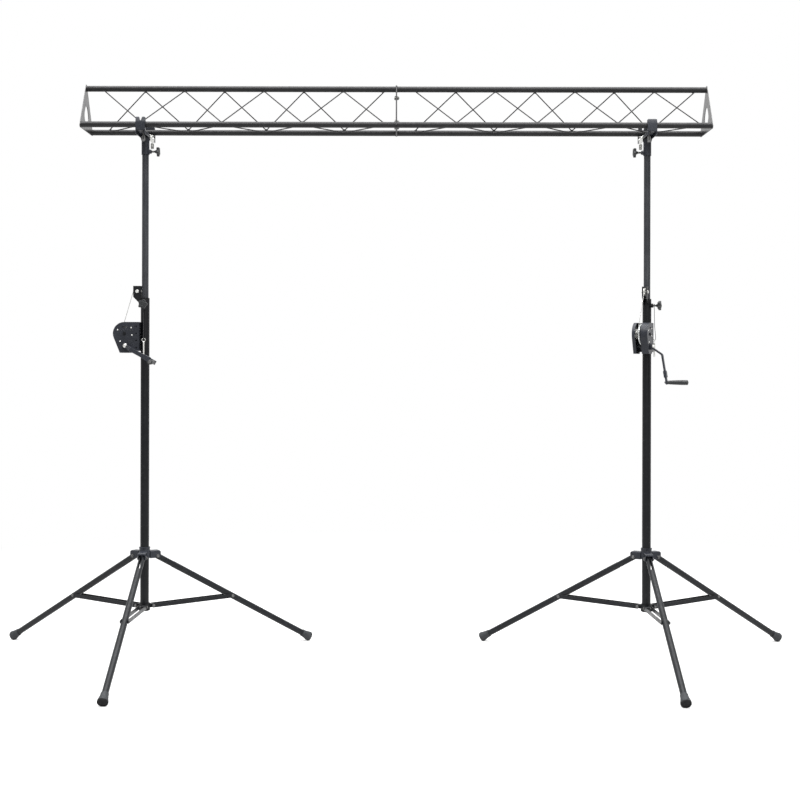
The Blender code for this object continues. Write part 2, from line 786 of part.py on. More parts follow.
def winch_outline(inset):
    """The winch's D shape as (x, z), drawn in by an inset all round except against the mast."""
    centre = WINCH_ARC_CENTRE
    radius = WINCH_ARC_RADIUS - inset
    corner = WINCH_CORNER + Vector((inset * 1.3, inset))
    to_corner = corner - centre
    touch = math.degrees(math.atan2(to_corner.y, to_corner.x)) % 360
    touch -= math.degrees(math.acos(radius / to_corner.length))
    back = -OUTER_RADIUS - GAP - (WINCH_SHEET if inset else 0)
    return [
        Vector((back, centre.y + radius)),
        *arc(centre, radius, 90, touch, 10),
        corner,
        Vector((WINCH_FLOOR_END - inset, corner.y)),
        Vector((WINCH_FLOOR_END - inset + WINCH_HEEL_SLOPE, WINCH_HEEL_Z + inset)),
        Vector((back, WINCH_HEEL_Z + inset)),
    ]


def winch_frame():
    """Gear housing and drum tray, bent from sheet, joined by the mast web and the fixed drum axle."""
    outer = winch_outline(0)
    inner = winch_outline(WINCH_SHEET)
    housing = upright_plate([outer], -WINCH_HALF_WIDTH, HOUSING_INNER_Y)
    tray = upright_plate([outer], TRAY_INNER_Y, WINCH_HALF_WIDTH)
    web_face = -OUTER_RADIUS - GAP
    web = block(
        (web_face - WINCH_SHEET, HOUSING_INNER_Y - 0.01, WINCH_HEEL_Z),
        (web_face, TRAY_INNER_Y + 0.01, WINCH_ARC_CENTRE.y + WINCH_ARC_RADIUS),
    )
    frame = joined(housing, tray, web)
    rib_low = (RIB_LOW.x, -WINCH_HALF_WIDTH - 0.001, RIB_LOW.y)
    rib_high = (RIB_HIGH.x, -WINCH_HALF_WIDTH + 0.001, RIB_HIGH.y)
    frame = joined(frame, block(rib_low, rib_high))
    sheet = WINCH_SHEET
    hollow = upright_plate([inner], -WINCH_HALF_WIDTH + sheet, HOUSING_INNER_Y + 0.01)
    tray_hollow = upright_plate([inner], TRAY_INNER_Y - 0.01, WINCH_HALF_WIDTH - sheet)
    past = WINCH_HALF_WIDTH + 0.01
    crank_hole = cross_rod(CRANK_AXIS, -past, past, clear_bore(AXLE_RADIUS))
    half = Vector(SLOT_SIZE) / 2
    slot = block(
        (SLOT_CENTRE.x - half.x, -past, SLOT_CENTRE.y - half.y),
        (SLOT_CENTRE.x + half.x, -WINCH_HALF_WIDTH + 0.01, SLOT_CENTRE.y + half.y),
    )
    holes = []
    for index in range(HOLE_COUNT):
        place = HOLE_FIRST + HOLE_STEP * index
        holes.append(cross_rod(place, -past, -WINCH_HALF_WIDTH + 0.01, HOLE_RADIUS))
    frame = cut(frame, hollow, tray_hollow, crank_hole, slot, *holes)
    edge = WINCH_HALF_WIDTH - sheet / 2
    return joined(frame, cross_rod(WINCH_ARC_CENTRE, -edge, edge, AXLE_RADIUS))


def cross_rod(place, low_y, high_y, radius, sides=SMALL_SIDES):
    return rod((place[0], low_y, place[1]), (place[0], high_y, place[1]), radius, sides)


def gear_outline(teeth, phase):
    """Spur gear teeth with straight flanks, the first tooth centred on the phase angle."""
    pitch_radius = GEAR_MODULE * teeth / 2
    step = 2 * math.pi / teeth
    root = pitch_radius - 0.95 * GEAR_MODULE
    tip = pitch_radius + 0.70 * GEAR_MODULE
    points = []
    for tooth in range(teeth):
        middle = phase + step * tooth
        for radius, share in ((root, -0.30), (tip, -0.10), (tip, 0.10), (root, 0.30)):
            angle = middle + share * step
            points.append(Vector((radius * math.cos(angle), radius * math.sin(angle))))
    return points


def drum():
    """Cable drum with its large gear, about the fixed axle along Y; the origin is on the axle."""
    towards_pinion = CRANK_AXIS - WINCH_ARC_CENTRE
    phase = math.atan2(towards_pinion.y, towards_pinion.x)
    gear = upright_plate([gear_outline(GEAR_TEETH, phase)], *GEAR_Y)
    barrel = cross_rod((0, 0), GEAR_Y[1] - 0.001, DRUM_END_Y - 0.0005, DRUM_RADIUS, ROUND_SIDES)
    flange = cross_rod((0, 0), DRUM_END_Y - DRUM_FLANGE, DRUM_END_Y, DRUM_FLANGE_RADIUS, ROUND_SIDES)
    wheel = joined(gear, barrel, flange)
    return cut(wheel, cross_rod((0, 0), -0.05, 0.05, clear_bore(AXLE_RADIUS)))


def crank(arm_turn):
    """Crank about its shaft along Y: shaft, pinion, bent arm and the spindle of its grip."""
    towards_gear = WINCH_ARC_CENTRE - CRANK_AXIS
    phase = math.atan2(towards_gear.y, towards_gear.x) + math.pi / PINION_TEETH
    outline = gear_outline(PINION_TEETH, phase)
    pinion = upright_plate([outline], GEAR_Y[0] - GAP * 2, GEAR_Y[1] + GAP * 2)
    shaft = cross_rod((0, 0), -CRANK_HUB_REACH, WINCH_HALF_WIDTH + 0.002, AXLE_RADIUS)
    arm = moved(crank_arm(), Matrix.Rotation(math.radians(-arm_turn), 4, "Y"))
    return joined(pinion, shaft, arm)


def crank_arm():
    """The arm hangs along -Z; its outline is drawn as (reach, radius) and is as wide along X."""
    half = CRANK_ARM_THICKNESS / 2
    path = [Vector((CRANK_FOOT_REACH, -0.012)), Vector((CRANK_FOOT_REACH, 0.004)), CRANK_BEND]
    path.append(Vector((CRANK_END_REACH, CRANK_RADIUS + 0.010)))
    outline = strip(rounded(path, 0.012, 3, closed=False), half)
    place = Matrix(((0, 0, 1, 0), (-1, 0, 0, 0), (0, -1, 0, 0), (0, 0, 0, 1)))
    arm = plate([outline], CRANK_ARM_WIDTH, place)
    clamp_path = [path_point(path, radius) for radius in CRANK_CLAMP]
    clamp = plate([strip(clamp_path, half + 0.003)], CRANK_ARM_WIDTH + 0.004, place)
    spindle_start = (0, -CRANK_END_REACH + half, -CRANK_RADIUS)
    grip_end = CRANK_END_REACH + half + GAP + GRIP_LENGTH
    cap_start = (0, -grip_end - GAP, -CRANK_RADIUS)
    cap_end = (0, -grip_end - 0.002, -CRANK_RADIUS)
    spindle = rod(spindle_start, cap_start, AXLE_RADIUS, SMALL_SIDES)
    cap = rod(cap_start, cap_end, GRIP_SCREW_RADIUS, SMALL_SIDES)
    nut_end = -CRANK_FOOT_REACH - CRANK_NUT_HEIGHT
    nut = cross_rod((0, 0), nut_end, -CRANK_FOOT_REACH, CRANK_NUT_RADIUS, 6)
    return joined(arm, clamp, spindle, cap, nut)


def strip(path, half):
    """Outline of a bar of even thickness along a flat path."""
    left = []
    right = []
    for index, point in enumerate(path):
        before = path[max(index - 1, 0)]
        after = path[min(index + 1, len(path) - 1)]
        along = (after - before).normalized()
        side = Vector((-along.y, along.x)) * half
        left.append(point + side)
        right.append(point - side)
    return left + right[::-1]


def path_point(path, radius):
    """The point of the arm's last straight at this radius."""
    start, end = path[-2:]
    share = (radius - start.y) / (end.y - start.y)
    return start.lerp(end, share)


def crank_grip():
    """Turned hand grip along +Z from its inner end, with the spindle's bore."""
    bore = clear_bore(AXLE_RADIUS, GRIP_SIDES)
    profile = [
        (bore, GRIP_LENGTH),
        (GRIP_RADIUS - 0.002, GRIP_LENGTH),
        (GRIP_RADIUS, GRIP_LENGTH - 0.003),
        (GRIP_RADIUS, GRIP_LENGTH * 0.7),
        (GRIP_RADIUS - 0.001, GRIP_LENGTH * 0.35),
        (GRIP_RADIUS - 0.0025, 0.010),
        (GRIP_RADIUS - 0.003, 0),
        (bore, 0),
    ]
    return turned(profile, GRIP_SIDES)


def cable():
    """Steel cable from the drum over the pulley and down inside the mast."""
    drum_wrap = DRUM_RADIUS + CABLE_RADIUS + GAP
    centres = WINCH_ARC_CENTRE, Vector((-PULLEY_X, PULLEY_Z))
    across = centres[1] - centres[0]
    lean = math.degrees(math.atan2(across.y, across.x))
    slant = math.degrees(math.asin((drum_wrap - PULLEY_WRAP_RADIUS) / across.length))
    leave = lean + 90 + slant
    on_drum = arc(centres[0], drum_wrap, leave + 70, leave, 6)
    route = [(point.x, DRUM_CABLE_Y, point.y) for point in on_drum]
    wrap = arc(centres[1], PULLEY_WRAP_RADIUS, leave, 0, 12)
    route += [(point.x, 0, point.y) for point in wrap]
    route.append((wrap[-1].x, 0, INNER_FOOT_Z + 0.005))
    return tube(route, CABLE_RADIUS)


# ---------------------------------------------------------------- truss and its heads


def chord_centres():
    """The three chords as (y, z) about the mast line: front, rear and top."""
    half = CHORD_SPACING / 2
    rise = CHORD_SPACING * math.sqrt(3) / 2
    return {
        "front": Vector((-half, CHORD_Z)),
        "rear": Vector((half, CHORD_Z)),
        "top": Vector((0, CHORD_Z + rise)),
    }


def section_frame(start, end):
    """Three chord tubes and a windowed triangular plate at each end."""
    chords = chord_centres()
    corners = [chords["front"], chords["rear"], chords["top"]]
    middle = sum(corners, Vector((0, 0))) / 3
    inradius = (chords["front"] - middle).length / 2
    margin = CHORD_RADIUS + END_PLATE_MARGIN
    grown = 1 + margin / inradius
    outer = [middle + (corner - middle) * grown for corner in corners]
    outline = rounded(outer, END_PLATE_CORNER, 4)
    shrunk = END_WINDOW_REACH / inradius
    window = [middle + (corner - middle) * shrunk for corner in corners]
    window = rounded(window, END_WINDOW_CORNER, 5)
    across = Matrix(((0, 0, 1, 0), (1, 0, 0, 0), (0, 1, 0, 0), (0, 0, 0, 1)))
    plates = []
    for place in (start + END_PLATE / 2, end - END_PLATE / 2):
        here = Matrix.Translation((place, 0, 0)) @ across
        plates.append(plate([outline, window], END_PLATE, here))
    inset = END_PLATE / 2
    tubes = []
    bores = []
    for chord in corners:
        tubes.append(rod((start + inset, *chord), (end - inset, *chord), CHORD_RADIUS, CHORD_SIDES))
        inner = CHORD_RADIUS - CHORD_WALL
        deep = END_PLATE + GAP
        bores.append(rod((start + deep, *chord), (end - deep, *chord), inner, CHORD_SIDES))
        bores.append(rod((start - 0.01, *chord), (end + 0.01, *chord), VENT_RADIUS, SMALL_SIDES))
    frame = joined(*tubes, *plates)
    return cut(frame, *bores)


def web(start, first, second):
    """One bent rod that zigzags between two chords; the first chord takes the even stations."""
    across = (second - first).normalized()
    contact = CHORD_RADIUS + WEB_ROD_RADIUS + GAP
    height = (second - first).length - 2 * contact
    half_angle = math.atan(WEB_STEP / height)
    sharp = contact - WEB_BEND * (1 / math.sin(half_angle) - 1)
    path = []
    for station in range(WEB_STATIONS):
        stand_off = contact if station in (0, WEB_STATIONS - 1) else sharp
        even = station % 2 == 0
        chord = first + across * stand_off if even else second - across * stand_off
        path.append(Vector((start + WEB_FIRST + WEB_STEP * station, *chord)))
    return tube(rounded(path, WEB_BEND, 2, closed=False), WEB_ROD_RADIUS)


def head():
    """Truss head: sleeve, cross channel and a hook over each lower chord."""
    channel_top = CHORD_Z - CHANNEL_DROP
    channel_floor = channel_top - CHANNEL_HEIGHT
    half_width = CHANNEL_WIDTH / 2
    half_length = CHORD_SPACING / 2 + CHANNEL_OVERHANG
    channel = block((-half_width, -half_length, channel_floor), (half_width, half_length, channel_top))
    inner = half_width - CHANNEL_WALL
    ceiling = channel_top - CHANNEL_WALL
    low = (-inner, -half_length - 0.01, channel_floor - 0.01)
    channel = cut(channel, block(low, (inner, half_length + 0.01, ceiling)))
    sleeve = rod((0, 0, SLEEVE_FOOT_Z), (0, 0, channel_top - CHANNEL_WALL / 2), SLEEVE_RADIUS)
    cone_top = (0, 0, channel_floor + 0.002)
    cone_reach = half_width + 0.001
    cone = rod((0, 0, HEAD_CONE_Z), cone_top, SLEEVE_RADIUS - GAP, ROUND_SIDES, cone_reach)
    boss = rod(
        (SLEEVE_RADIUS - 0.0025, 0, HEAD_KNOB_Z),
        (BOSS_REACH, 0, HEAD_KNOB_Z),
        BOSS_RADIUS * 1.15,
        SMALL_SIDES,
        BOSS_RADIUS * 0.85,
    )
    body = joined(channel, sleeve, cone, boss, hook(-1, True), hook(1, False))
    bore = rod((0, 0, SLEEVE_FOOT_Z - 0.01), (0, 0, INNER_TOP_Z + GAP), INNER_RADIUS + GAP)
    stem_room = clear_bore(KNOB_STEM_RADIUS, ROUND_SIDES)
    stem_bore = rod((0, 0, HEAD_KNOB_Z), (BOSS_REACH + 0.01, 0, HEAD_KNOB_Z), stem_room)
    screw_bores = []
    for side in (-1, 1):
        place = (SCREW_OFFSET, side * CHORD_SPACING / 2)
        start = (*place, channel_floor - 0.01)
        end = (*place, channel_top + 0.003)
        screw_bores.append(rod(start, end, clear_bore(SCREW_RADIUS), SMALL_SIDES))
    return cut(body, bore, stem_bore, *screw_bores)


def hook(side, forked):
    """Hook over one chord, open towards the inside of the truss; its top may be forked."""
    seat = CHORD_RADIUS + GAP
    top = HOOK_TOP if forked else HOOK_TOP - 0.006
    inner_edge = seat * math.cos(math.radians(HOOK_WRAP))
    nose = rounded([(HOOK_REACH, 0.010), (0.015, top), (-HOOK_LIP, top)], 0.006, 3, closed=False)
    outline = [
        *nose[1:-1],
        Vector((-HOOK_LIP, top)),
        *arc((0, 0), seat, 98, HOOK_WRAP, 10),
        Vector((inner_edge, -CHANNEL_DROP - 0.002)),
        Vector((HOOK_REACH, -CHANNEL_DROP - 0.002)),
        Vector((HOOK_REACH, 0.006)),
    ]
    y = side * CHORD_SPACING / 2
    place = Matrix(((0, 0, 1, 0), (side, 0, 0, y), (0, 1, 0, CHORD_Z), (0, 0, 0, 1)))
    claw = plate([outline], CHANNEL_WIDTH, place)
    welded(claw.data)
    if forked:
        half = HOOK_SLOT / 2
        low = (-half, y - 0.04, CHORD_Z + HOOK_SLOT_FLOOR)
        claw = cut(claw, block(low, (half, y + 0.04, CHORD_Z + top + 0.01)))
    return claw


def clamp_screw():
    """Screw along Z with its shoe at the origin's height and a flat thumb tab below."""
    shoe = rod((0, 0, 0), (0, 0, -SHOE_THICKNESS), SHOE_RADIUS, 16)
    stem = rod((0, 0, -SHOE_THICKNESS / 2), (0, 0, -SCREW_DROP), SCREW_RADIUS, SMALL_SIDES)
    width, depth, height = TAB_SIZE
    low = -SCREW_DROP - height + 0.016
    half = width / 2
    high = low + height
    outline = rounded([(-half, low), (half, low), (half, high), (-half, high)], 0.004, 3)
    return joined(shoe, stem, upright_plate([outline], -depth / 2, depth / 2))


# ---------------------------------------------------------------- values that follow

PULLEY_X = PULLEY_WRAP_RADIUS + INNER_RADIUS + GAP + CABLE_RADIUS
POCKET_FLOOR_Z = HUB_FLOOR_Z - 0.002
HUB_BOSS_REACH = HUB_RADIUS + 0.009
GEAR_CENTRES = GEAR_MODULE * (GEAR_TEETH + PINION_TEETH) / 2
CRANK_AXIS = WINCH_ARC_CENTRE + GEAR_CENTRES * Vector((math.sin(PINION_LEAN), -math.cos(PINION_LEAN)))
CRANK_FOOT_REACH = WINCH_HALF_WIDTH + 0.0065
BRACE_END = Vector(
    (
        LEG_PIVOT_RADIUS + BRACE_ON_LEG * math.sin(LEG_ANGLE) - BRACE_PIVOT_RADIUS,
        LEG_PIVOT_Z - BRACE_ON_LEG * math.cos(LEG_ANGLE) - BRACE_PIVOT_Z,
    )
)
BRACE_LENGTH = BRACE_END.length
BRACE_ANGLE = math.atan2(BRACE_END.y, BRACE_END.x)


# ---------------------------------------------------------------- assembly


def build_truss():
    root = pivot("truss", (0, MAST_LINE_Y, 0))
    chords = chord_centres()
    length = TRUSS_LENGTH / TRUSS_SECTIONS
    for index, side in enumerate(("left", "right")):
        start = -TRUSS_LENGTH / 2 + index * length
        low = start if index == 0 else start + GAP / 2
        high = start + length - (GAP / 2 if index == 0 else 0)
        part(f"truss_section_{side}", section_frame(low, high), "truss_paint", root)
        part(f"web_front_{side}", web(start, chords["top"], chords["front"]), "truss_paint", root)
        part(f"web_rear_{side}", web(start, chords["rear"], chords["top"]), "truss_paint", root)
        part(f"web_bottom_{side}", web(start, chords["rear"], chords["front"]), "truss_paint", root)


def build_tripod(side, stand, shapes):
    part(f"leg_hub_{side}", shapes["hub"], "grey_paint", stand)
    boss_z = (HUB_FLOOR_Z + HUB_TOP_Z) / 2
    backwards = (-math.pi / 2, 0, 0)
    part(f"hub_knob_{side}", shapes["hub_knob"], "black_plastic", stand, (0, 0, boss_z), backwards)
    for index, azimuth in enumerate(LEG_AZIMUTHS, 1):
        spoke = pivot(f"spoke_{side}_{index}", (0, 0, 0), stand, azimuth)
        hinge = (LEG_PIVOT_RADIUS, 0, LEG_PIVOT_Z)
        part(f"leg_{side}_{index}", shapes["leg"], "grey_paint", spoke, hinge, (0, -LEG_ANGLE, 0))
        part(f"foot_{side}_{index}", shapes["foot"], "rubber", spoke, hinge, (0, -LEG_ANGLE, 0))
        pin = (BRACE_PIVOT_RADIUS, 0, BRACE_PIVOT_Z)
        part(f"brace_{side}_{index}", shapes["brace"], "grey_paint", spoke, pin, (0, -BRACE_ANGLE, 0))


def build_upper(side, turns, stand, shapes):
    part(f"outer_mast_{side}", outer_mast(turns["upper"]), "black_paint", stand)
    upper = pivot(f"upper_{side}", (0, 0, 0), stand, turns["upper"])
    part(f"inner_mast_{side}", shapes["inner_mast"], "grey_paint", upper)
    forwards = (math.pi / 2, 0, 0)
    part(f"pulley_{side}", shapes["pulley"], "zinc", upper, (-PULLEY_X, 0, PULLEY_Z), forwards)
    part(f"cable_{side}", shapes["cable"], "steel_cable", upper)
    part(f"winch_frame_{side}", shapes["winch_frame"], "black_paint", upper)
    drum_place = (WINCH_ARC_CENTRE.x, 0, WINCH_ARC_CENTRE.y)
    part(f"winch_drum_{side}", shapes["drum"], "zinc", upper, drum_place)
    axis = pivot(f"crank_axis_{side}", (CRANK_AXIS.x, 0, CRANK_AXIS.y), upper)
    part(f"crank_{side}", crank(turns["arm"]), "black_paint", axis)
    arm = pivot(f"crank_arm_{side}", (0, 0, 0), axis)
    arm.rotation_euler = (0, math.radians(-turns["arm"]), 0)
    grip_place = (0, -CRANK_END_REACH - CRANK_ARM_THICKNESS / 2 - GAP, -CRANK_RADIUS)
    part(f"crank_grip_{side}", shapes["grip"], "black_plastic", arm, grip_place, forwards)
    knob_place = (0, 0, MAST_KNOB_Z)
    part(f"mast_knob_{side}", shapes["mast_knob"], "black_plastic", upper, knob_place, forwards)
    part(f"lanyard_{side}", shapes["lanyard"], "black_cord", upper, (0, -LANYARD_REACH, 0))
    part(f"safety_pin_{side}", shapes["safety_pin"], "zinc", upper, (0, -LANYARD_REACH, 0))


def build_head(side, turns, stand, shapes):
    top = pivot(f"head_axis_{side}", (0, 0, 0), stand, turns["head"])
    part(f"head_{side}", shapes["head"], "black_paint", top)
    knob_place = (0, 0, HEAD_KNOB_Z)
    sideways = (0, math.pi / 2, 0)
    part(f"head_knob_{side}", shapes["mast_knob"], "black_plastic", top, knob_place, sideways)
    for name, chord_side in (("a", -1), ("b", 1)):
        place = (SCREW_OFFSET, chord_side * CHORD_SPACING / 2, CHORD_Z - CHORD_RADIUS - GAP)
        part(f"clamp_screw_{side}_{name}", shapes["clamp_screw"], "zinc", top, place)


def main():
    shapes = {
        "hub": leg_hub(),
        "hub_knob": star_knob(OUTER_RADIUS + 2 * GAP, HUB_BOSS_REACH + 0.012, 0.020, 0.013),
        "leg": leg(),
        "foot": foot(),
        "brace": brace(),
        "inner_mast": inner_mast(),
        "pulley": pulley(),
        "cable": cable(),
        "winch_frame": winch_frame(),
        "drum": drum(),
        "grip": crank_grip(),
        "mast_knob": star_knob(INNER_RADIUS + 2 * GAP, KNOB_SEAT, KNOB_RADIUS, KNOB_THICKNESS),
        "lanyard": lanyard(),
        "safety_pin": safety_pin(),
        "head": head(),
        "clamp_screw": clamp_screw(),
    }
    build_truss()
    for side, turns in STANDS.items():
        stand = pivot(f"stand_{side}", (turns["side"] * STAND_X, MAST_LINE_Y, 0))
        build_tripod(side, stand, shapes)
        build_upper(side, turns, stand, shapes)
        build_head(side, turns, stand, shapes)
    for obj in list(BLANKS.objects):
        bpy.data.objects.remove(obj, do_unlink=True)


clear_scene()
PARTS = new_collection("crank_lighting_stand")
BLANKS = new_collection("blanks")
FINISH = {name: new_finish(name) for name in FINISHES}
main()
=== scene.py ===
"""Crank lighting stand, finished: two crank-up tripod stands and their three metre truss.

Units are metres and +Z is up. A stand is described about its own mast, with its winch at -X and its
crank at -Y, and is then turned as that stand is turned. The frame's solids give the places; the
pieces made here carry the look. A profile is a list of (radius, height), to be spun about Z.
"""

import json
import math

import bmesh
import bpy
from mathutils import Matrix, Vector

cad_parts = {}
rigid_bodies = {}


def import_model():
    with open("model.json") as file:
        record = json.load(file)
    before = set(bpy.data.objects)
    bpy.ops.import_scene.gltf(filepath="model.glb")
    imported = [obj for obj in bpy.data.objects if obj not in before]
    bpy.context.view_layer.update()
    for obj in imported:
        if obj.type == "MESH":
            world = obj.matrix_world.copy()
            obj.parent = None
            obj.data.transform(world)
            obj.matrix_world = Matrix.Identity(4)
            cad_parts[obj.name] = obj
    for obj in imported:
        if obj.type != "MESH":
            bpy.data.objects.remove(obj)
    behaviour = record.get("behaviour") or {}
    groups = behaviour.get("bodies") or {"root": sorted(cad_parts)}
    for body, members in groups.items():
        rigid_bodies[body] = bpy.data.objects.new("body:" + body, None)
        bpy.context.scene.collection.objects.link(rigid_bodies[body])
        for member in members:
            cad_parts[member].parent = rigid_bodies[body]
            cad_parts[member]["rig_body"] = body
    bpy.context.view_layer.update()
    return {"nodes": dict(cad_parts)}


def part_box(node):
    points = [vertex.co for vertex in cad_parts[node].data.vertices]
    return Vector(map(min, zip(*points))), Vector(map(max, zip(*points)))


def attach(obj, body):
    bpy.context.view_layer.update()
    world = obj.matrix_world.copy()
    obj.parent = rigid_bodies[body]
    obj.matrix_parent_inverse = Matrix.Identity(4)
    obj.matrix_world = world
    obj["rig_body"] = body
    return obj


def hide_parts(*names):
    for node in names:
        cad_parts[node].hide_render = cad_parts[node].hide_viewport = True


for startup_object in list(bpy.data.objects):
    bpy.data.objects.remove(startup_object, do_unlink=True)
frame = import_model()

SIDES = ("left", "right")
UPPER_TURN = {"left": 0, "right": 66}
HEAD_TURN = {"left": 0, "right": 180}
ARM_TURN = {"left": 62.2, "right": 0}
LEG_AZIMUTHS = {1: -90, 2: 30, 3: 150}

# Solids that keep their shape, by the start of their names: the finish and the easing of edges
KEPT_SHAPES = {
    "outer_mast": ("black_paint", 0.0005),
    "winch_frame": ("cast_paint", 0.0006),
    "winch_drum": ("gear_steel", 0.0003),
    "inner_mast": ("inner_paint", 0.0004),
}

# Camera, lamps, world and floor
CAMERA_PLACE = (0.0243, -6.0748, 1.4246)
CAMERA_TURN = (90, -0.13, 0.04)
CAMERA_LENS = 58.6
CAMERA_SENSOR = 36
CAMERA_SHIFT = -0.0439
LAMPS = {  # place, size and power
    "overhead": ((0, -0.9, 8.2), (9, 10.4), 1820),
    "front_fill": ((1.5, -6.5, 3.2), (4.0, 3.0), 55),
}
LAMP_AIM = (0, 0.2, 1.3)
WHITE = (1, 1, 1)
WORLD_STRENGTH = 0.28
FLOOR_SIZE = 60
FLOOR_FADE = (2.6, 5.0)
FLOOR_COLOUR = (0.55, 0.55, 0.55)
FLOOR_ROUGHNESS = 0.9
FLOOR_GLOSS = 0.1
FLOOR_GLOW = 0.52

# Mesh making: the sides of large to small rounds, the cuts of a quarter round in degrees, and the
# radius and steps of the corners of hoods and of their hollows
FINE = 48
ROUND = 32
COARSE = 24
SMALL = 20
QUARTER = range(12, 90, 13)
POCKET_CORNER = (0.006, 6)
CHANNEL_CORNER = (0.004, 5)
HOLLOW_CORNER = (0.002, 3)
GAP = 0.0003
MERGE = 0.00001
FLAT = math.radians(0.1)
CREASE = math.radians(48)
UPRIGHT = Matrix.Rotation(math.pi / 2, 4, "X")
BACKWARD = Matrix.Rotation(-math.pi / 2, 4, "X")
SIDEWAYS = Matrix.Rotation(math.pi / 2, 4, "Y")
OUTWARD = Matrix(((0, 0, 1, 0), (1, 0, 0, 0), (0, 1, 0, 0), (0, 0, 0, 1)))

# Masts
OUTER_RADIUS = 0.021
INNER_RADIUS = 0.016
INNER_FOOT_Z = 1.045
CABLE_RADIUS = 0.0013

# Tripod
HUB_MIDDLE_Z = 0.5165
HUB_BOSS_REACH = 0.036
HUB_FOOT_Z = 0.490
HUB_TOP_Z = 0.543
HUB_RADIUS = 0.027
POCKET_HALF = 0.01925
POCKET_WALL = 0.0036
POCKET_REACH = 0.075
POCKET_FLOOR_Z = 0.488
POCKET_ROOF_Z = 0.5121
POCKET_TOP_Z = 0.5245
POCKET_NOSE = 0.011
POCKET_TOE = 0.006
TOE_CUTS = (-15, -35, -55, -75)
LEG_PIVOT = (0.060, 0.4975)
LEG_ANGLE = math.radians(59.9)
LEG_LENGTH = 0.955
LEG_RADIUS = 0.015
LEG_SHORTFALL = 0.0093
FORK_LENGTH = 0.095
FORK_TIP = 0.016
FORK_WALL = 0.0038
FORK_HALF_SLOT = 0.0062
FORK_ROUND = 0.0138
FORK_CUTS = (25, 45, 65, 90, 115, 135, 155)
SOLE_WEAR = 0.0001
BRACE_PIVOT = (0.040, 0.258)
BRACE_ON_LEG = 0.4530
BRACE_BAR = 0.003
BRACE_HEIGHT = 0.020
BOLT_RADIUS = 0.004

# Bolts: the width across flats, the height and the washer's height of a head, and of its nut
BRACE_BOLT = (0.0125, 0.0030, 0.0008), (0.0125, 0.0036, 0.0008)
LEG_BOLT = (0.0135, 0.0034, 0.0010), (0.0135, 0.0044, 0.0010)
PULLEY_BOLT = (0.0135, 0.0043, 0.0010), (0.0135, 0.0045, 0.0008)
DRUM_BOLT = (0.013, 0.0040, 0.0008), (0.013, 0.0050, 0.0010)
JOINT_BOLT = (0.017, 0.0058, 0.0016), (0.017, 0.0072, 0.0016)
KEEPER_BOLT = (0.010, 0.0028, 0.0008)
CRANK_NUT = (0.017, 0.0060, 0.0012)
GRIP_NUT = (0.013, 0.0050, 0.0010)
BOLT_PITCH = 0.001

# Knobs: a knob's size is its seat's reach from the mast's axis, its radius and its thickness
MAST_KNOB_Z = 1.713
HEAD_KNOB_Z = 2.452
UPPER_KNOB = (0.055, 0.024, 0.014)
HUB_KNOB = (HUB_BOSS_REACH + 0.012, 0.020, 0.013)
KNOB_STEM_RADIUS = 0.005
KNOB_STEM_PITCH = 0.0015
KNOB_LOBES = 5
KNOB_LOBE_SIDES = 14
KNOB_CREASE = math.radians(40)

# Pins and lanyards: the fall is in shares of the loop's radius and of the drop to the ring
PIN_TOP_Z = 1.5335
RING_RADIUS = 0.0083
RING_WIRE_RADIUS = 0.0012
LANYARD_REACH = 0.037
LANYARD_RADIUS = 0.0013
LANYARD_HOOK = 0.0058
LANYARD_SLIP = 0.0026
LANYARD_FALL = ((-1, 0.025), (-0.53, 0.135), (-0.18, 0.34))

# Pulley and winch
PULLEY_PLACE = (-0.0371, 1.777)
PULLEY_WRAP_RADIUS = 0.0195
PULLEY_RIM = 0.0208
PULLEY_CHEEK = 0.011
DRUM_AXIS = (-0.093, 1.573)
DRUM_RADIUS = 0.0245
DRUM_CABLE_Y = 0.016
WINDING_SPAN = (0.0108, 0.0296)
WINDING_TURNS = 7
WINDING_STEPS = 22
WINCH_FACE = 0.0375
WINCH_RIVETS = ((-0.0566, 1.565), (-0.113, 1.535), (-0.060, 1.600), (-0.125, 1.590))
WHEEL_TEETH = 36
WHEEL_RADIUS = 0.0472
PINION_TEETH = 9
PINION_SPAN = (-0.0096, -0.0024)
PINION_LEAN = math.radians(6.2)
GEAR_CENTRES = 0.059
CRANK_AXIS = (
    DRUM_AXIS[0] + GEAR_CENTRES * math.sin(PINION_LEAN),
    DRUM_AXIS[1] - GEAR_CENTRES * math.cos(PINION_LEAN),
)

# Crank: its bend is the reach and the radius of the arm's knee, and its clamp spans two radii
CRANK_FOOT_REACH = 0.044
CRANK_BEND = (0.094, 0.038)
CRANK_BEND_ROUND = 0.012
CRANK_END_REACH = 0.1175
CRANK_RADIUS = 0.170
CRANK_WIDTH = 0.020
CRANK_HALF = 0.004
CRANK_CLAMP = (0.115, 0.147)
CRANK_CLAMP_HALF = 0.007
CRANK_NUT_REACH = 0.0485
SHAFT_RADIUS = 0.005
SPINDLE_RADIUS = 0.0046
GRIP_LENGTH = 0.094
GRIP_RINGS = 9
GRIP_FIRST_RING = 0.010
GRIP_RING_STEP = 0.0082
GRIP_NECK = 0.0092
GRIP_SWELL = 0.0026

